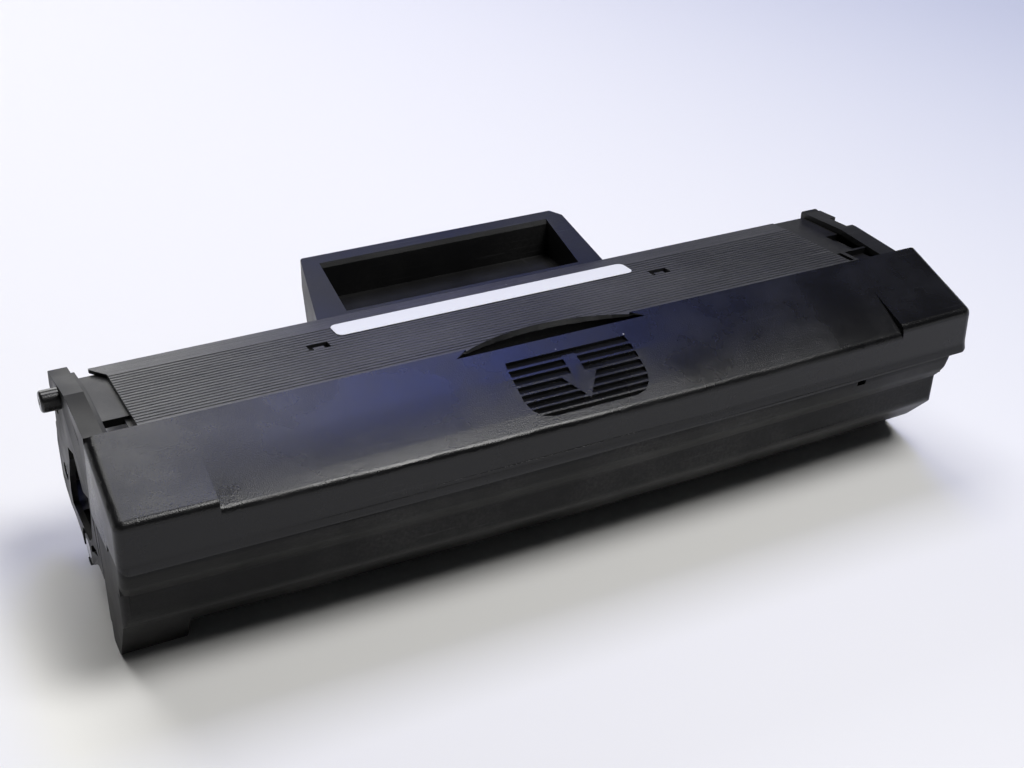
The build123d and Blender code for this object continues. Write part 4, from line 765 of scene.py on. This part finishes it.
def thumb_rim():
    """Three-sided bar that follows the recess's arc just under the surface round it."""
    tops = [BVHTree.FromObject(cad[name], bpy.context.evaluated_depsgraph_get())
            for name in ("front_hood", "ribbed_top_cover")]
    rise = THUMB_ARC_Y - THUMB_CHORD_Y
    radius = (THUMB_HALF ** 2 + rise ** 2) / (2 * rise)
    centre = Vector((THUMB_MIDDLE_X, THUMB_ARC_Y - radius, 0.0))
    swing = math.asin(THUMB_HALF / radius) * RIM_END
    shape = bmesh.new()
    last = None
    for i in range(RIM_STEPS + 1):
        angle = swing * (2 * i / RIM_STEPS - 1)
        outward = Vector((math.sin(angle), math.cos(angle), 0.0))
        fade = math.cos(math.pi / 2 * (2 * i / RIM_STEPS - 1)) ** 0.7 + RIM_THIN_END
        above = centre + outward * (radius + BESIDE_RECESS) + Vector((0, 0, cad_high[2]))
        hits = [tree.ray_cast(above, Vector((0, 0, -1))) for tree in tops]
        surface = max(hit[0].z for hit in hits if hit[0])
        wall = centre + outward * (radius - RIM_IN_WALL)
        foot = centre + outward * (radius - RIM_WIDTH * fade)
        top = surface - RIM_UNDER_TOP
        heights = (top, top - RIM_DROP * fade, top - RIM_DROP * fade)
        ring = [shape.verts.new((p.x, p.y, z)) for p, z in zip((wall, foot, wall), heights)]
        if last:
            for a in range(3):
                shape.faces.new((last[a], last[a - 1], ring[a - 1], ring[a]))
        else:
            shape.faces.new(ring)
        last = ring
    shape.faces.new(reversed(last))
    bmesh.ops.recalc_face_normals(shape, faces=shape.faces)
    mesh = bpy.data.meshes.new("thumb_recess_rim")
    shape.to_mesh(mesh)
    shape.free()
    mesh.materials.append(finishes["frame_mould"])
    piece = bpy.data.objects.new("thumb_recess_rim", mesh)
    bpy.context.scene.collection.objects.link(piece)
    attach(piece, "frame")


thumb_rim()


# Stage: pale floor, soft light, camera

BACKDROP = (0.87, 0.87, 0.88)
FLOOR_TONES = ((0.79, 0.785, 0.77), (0.82, 0.812, 0.79))
# colour of the painted shade on the floor to the right of the part
FLOOR_PAINTED_SHADE = (0.5, 0.53, 0.62)


def seen_rays(tree):
    """Masks of what the camera sees directly, and of what it sees in glossy pieces."""
    path = tree.nodes.new("ShaderNodeLightPath").outputs
    mirrored = math_node(tree, "ADD", path["Is Glossy Ray"], path["Is Transmission Ray"], True)
    return path["Is Camera Ray"], mirrored


def floor_finish():
    """Pale paper with painted shade, darker and bluer to the right; its far part keeps its tone beyond the
    lamps.
    """
    m, tree, shader, at = material("floor_paper")
    tone = noise(tree, at, 1.4, 2.0)
    paper_tone = blend_colour(tree, tone, *FLOOR_TONES)
    place = tree.nodes.new("ShaderNodeSeparateXYZ")
    link(tree, at, place.inputs[0])
    # painted shade: the floor's colour turns darker and bluer to the right, where the lamps leave it dim
    painted_shade_right = window(tree, place.outputs["X"], 0.02, 0.7)
    link(tree, blend_colour(tree, painted_shade_right, paper_tone, FLOOR_PAINTED_SHADE), shader.inputs["Base Color"])
    shader.inputs["Roughness"].default_value = 0.6
    # beyond the lamps' reach the floor keeps its pale tone, with no more light on the object
    reach = tree.nodes.new("ShaderNodeVectorMath")
    reach.operation = "LENGTH"
    link(tree, at, reach.inputs[0])
    direct, mirrored = seen_rays(tree)
    far = window(tree, reach.outputs["Value"], 0.58, 1.5)
    pale = tree.nodes.new("ShaderNodeEmission")
    pale.inputs["Color"].default_value = (*BACKDROP, 1.0)
    both = tree.nodes.new("ShaderNodeMixShader")
    link(tree, math_node(tree, "MULTIPLY", far, math_node(tree, "ADD", direct, mirrored, True)),
         both.inputs["Fac"])
    link(tree, shader.outputs["BSDF"], both.inputs[1])
    link(tree, pale.outputs["Emission"], both.inputs[2])
    link(tree, both.outputs["Shader"], tree.nodes["Material Output"].inputs["Surface"])
    return m


mesh = bpy.data.meshes.new("floor")
FLOOR_HALF = 6.0
corners = [(a * FLOOR_HALF, b * FLOOR_HALF, 0) for a, b in ((-1, -1), (1, -1), (1, 1), (-1, 1))]
mesh.from_pydata(corners, [], [(0, 1, 2, 3)])
mesh.materials.append(floor_finish())
floor = bpy.data.objects.new("floor", mesh)
bpy.context.scene.collection.objects.link(floor)
floor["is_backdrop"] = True


def softbox(name, aim_from, aim_at, size, power, colour):
    """Flat lamp of a given width and depth that looks from one point to another."""
    data = bpy.data.lights.new(name, "AREA")
    data.shape = "RECTANGLE"
    data.size, data.size_y = size
    data.energy = power
    data.color = colour
    o = bpy.data.objects.new(name, data)
    o.location = aim_from
    o.rotation_mode = "QUATERNION"
    o.rotation_quaternion = (Vector(aim_at) - Vector(aim_from)).to_track_quat("-Z", "Y")
    bpy.context.scene.collection.objects.link(o)
    return o


# White panels over, before and behind the left half, blue ones beside them, and a dark room to the right
WHITE = (1.0, 0.995, 0.985)
DEEP_BLUE = (0.22, 0.29, 1.0)
PALE_BLUE = (0.4, 0.42, 1.0)
softbox("overhead", (-0.12, 0.62, 1.5), (-0.12, 0.62, 0), (0.9, 0.7), 10.5, WHITE)
softbox("overhead blue", (0.53, 0.62, 1.5), (0.53, 0.62, 0), (0.38, 0.8), 6.0, DEEP_BLUE)
softbox("front strip", (0.42, -0.44, 1.45), (0.1, -0.1, 0), (0.5, 0.6), 18.0, WHITE)
softbox("back", (-0.2, 1.9, 0.85), (-0.15, 0.0, 0.05), (1.1, 1.0), 11.0, WHITE)
softbox("back blue", (0.68, 1.9, 0.85), (0.05, 0.0, 0.05), (0.4, 1.0), 1.8, PALE_BLUE)

# Dim room light; the camera sees a pale backdrop, and glossy pieces see its low part under a dark ceiling
ROOM_TONE = (0.9, 0.94, 1.0, 1.0)
ROOM_LIGHT = 0.03
world = bpy.data.worlds.new("room")
world.use_nodes = True
room = world.node_tree
dim = room.nodes["Background"]
dim.inputs["Color"].default_value = ROOM_TONE
dim.inputs["Strength"].default_value = ROOM_LIGHT
wall = room.nodes.new("ShaderNodeBackground")
wall.inputs["Color"].default_value = (*BACKDROP, 1.0)
toward = room.nodes.new("ShaderNodeSeparateXYZ")
link(room, room.nodes.new("ShaderNodeTexCoord").outputs["Generated"], toward.inputs[0])
low_part = window(room, toward.outputs["Z"], 0.1, 0.25, 1.0, 0.0)
direct, mirrored = seen_rays(room)
both = room.nodes.new("ShaderNodeMixShader")
link(room, math_node(room, "ADD", direct, math_node(room, "MULTIPLY", mirrored, low_part), True),
     both.inputs["Fac"])
link(room, dim.outputs["Background"], both.inputs[1])
link(room, wall.outputs["Background"], both.inputs[2])
link(room, both.outputs["Shader"], room.nodes["World Output"].inputs["Surface"])
bpy.context.scene.world = world
bpy.context.scene.view_settings.view_transform = "Standard"

camera = bpy.data.objects.new("camera", bpy.data.cameras.new("camera"))
camera.data.sensor_width = SENSOR
camera.data.lens = FOCAL_PX * SENSOR / PHOTO_WIDTH
camera.data.clip_start = 0.02
camera.data.clip_end = 30.0
back = Vector((math.sin(YAW) * math.cos(PITCH), -math.cos(YAW) * math.cos(PITCH), math.sin(PITCH)))
level = Vector((math.cos(YAW), math.sin(YAW), 0.0))
upright = back.cross(level)
right = level * math.cos(ROLL) + upright * math.sin(ROLL)
up = upright * math.cos(ROLL) - level * math.sin(ROLL)
turn = Matrix((right, up, back)).transposed()
camera.matrix_world = Matrix.Translation(TARGET + back * DISTANCE) @ turn.to_4x4()
bpy.context.scene.collection.objects.link(camera)
bpy.context.scene.camera = camera

low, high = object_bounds()
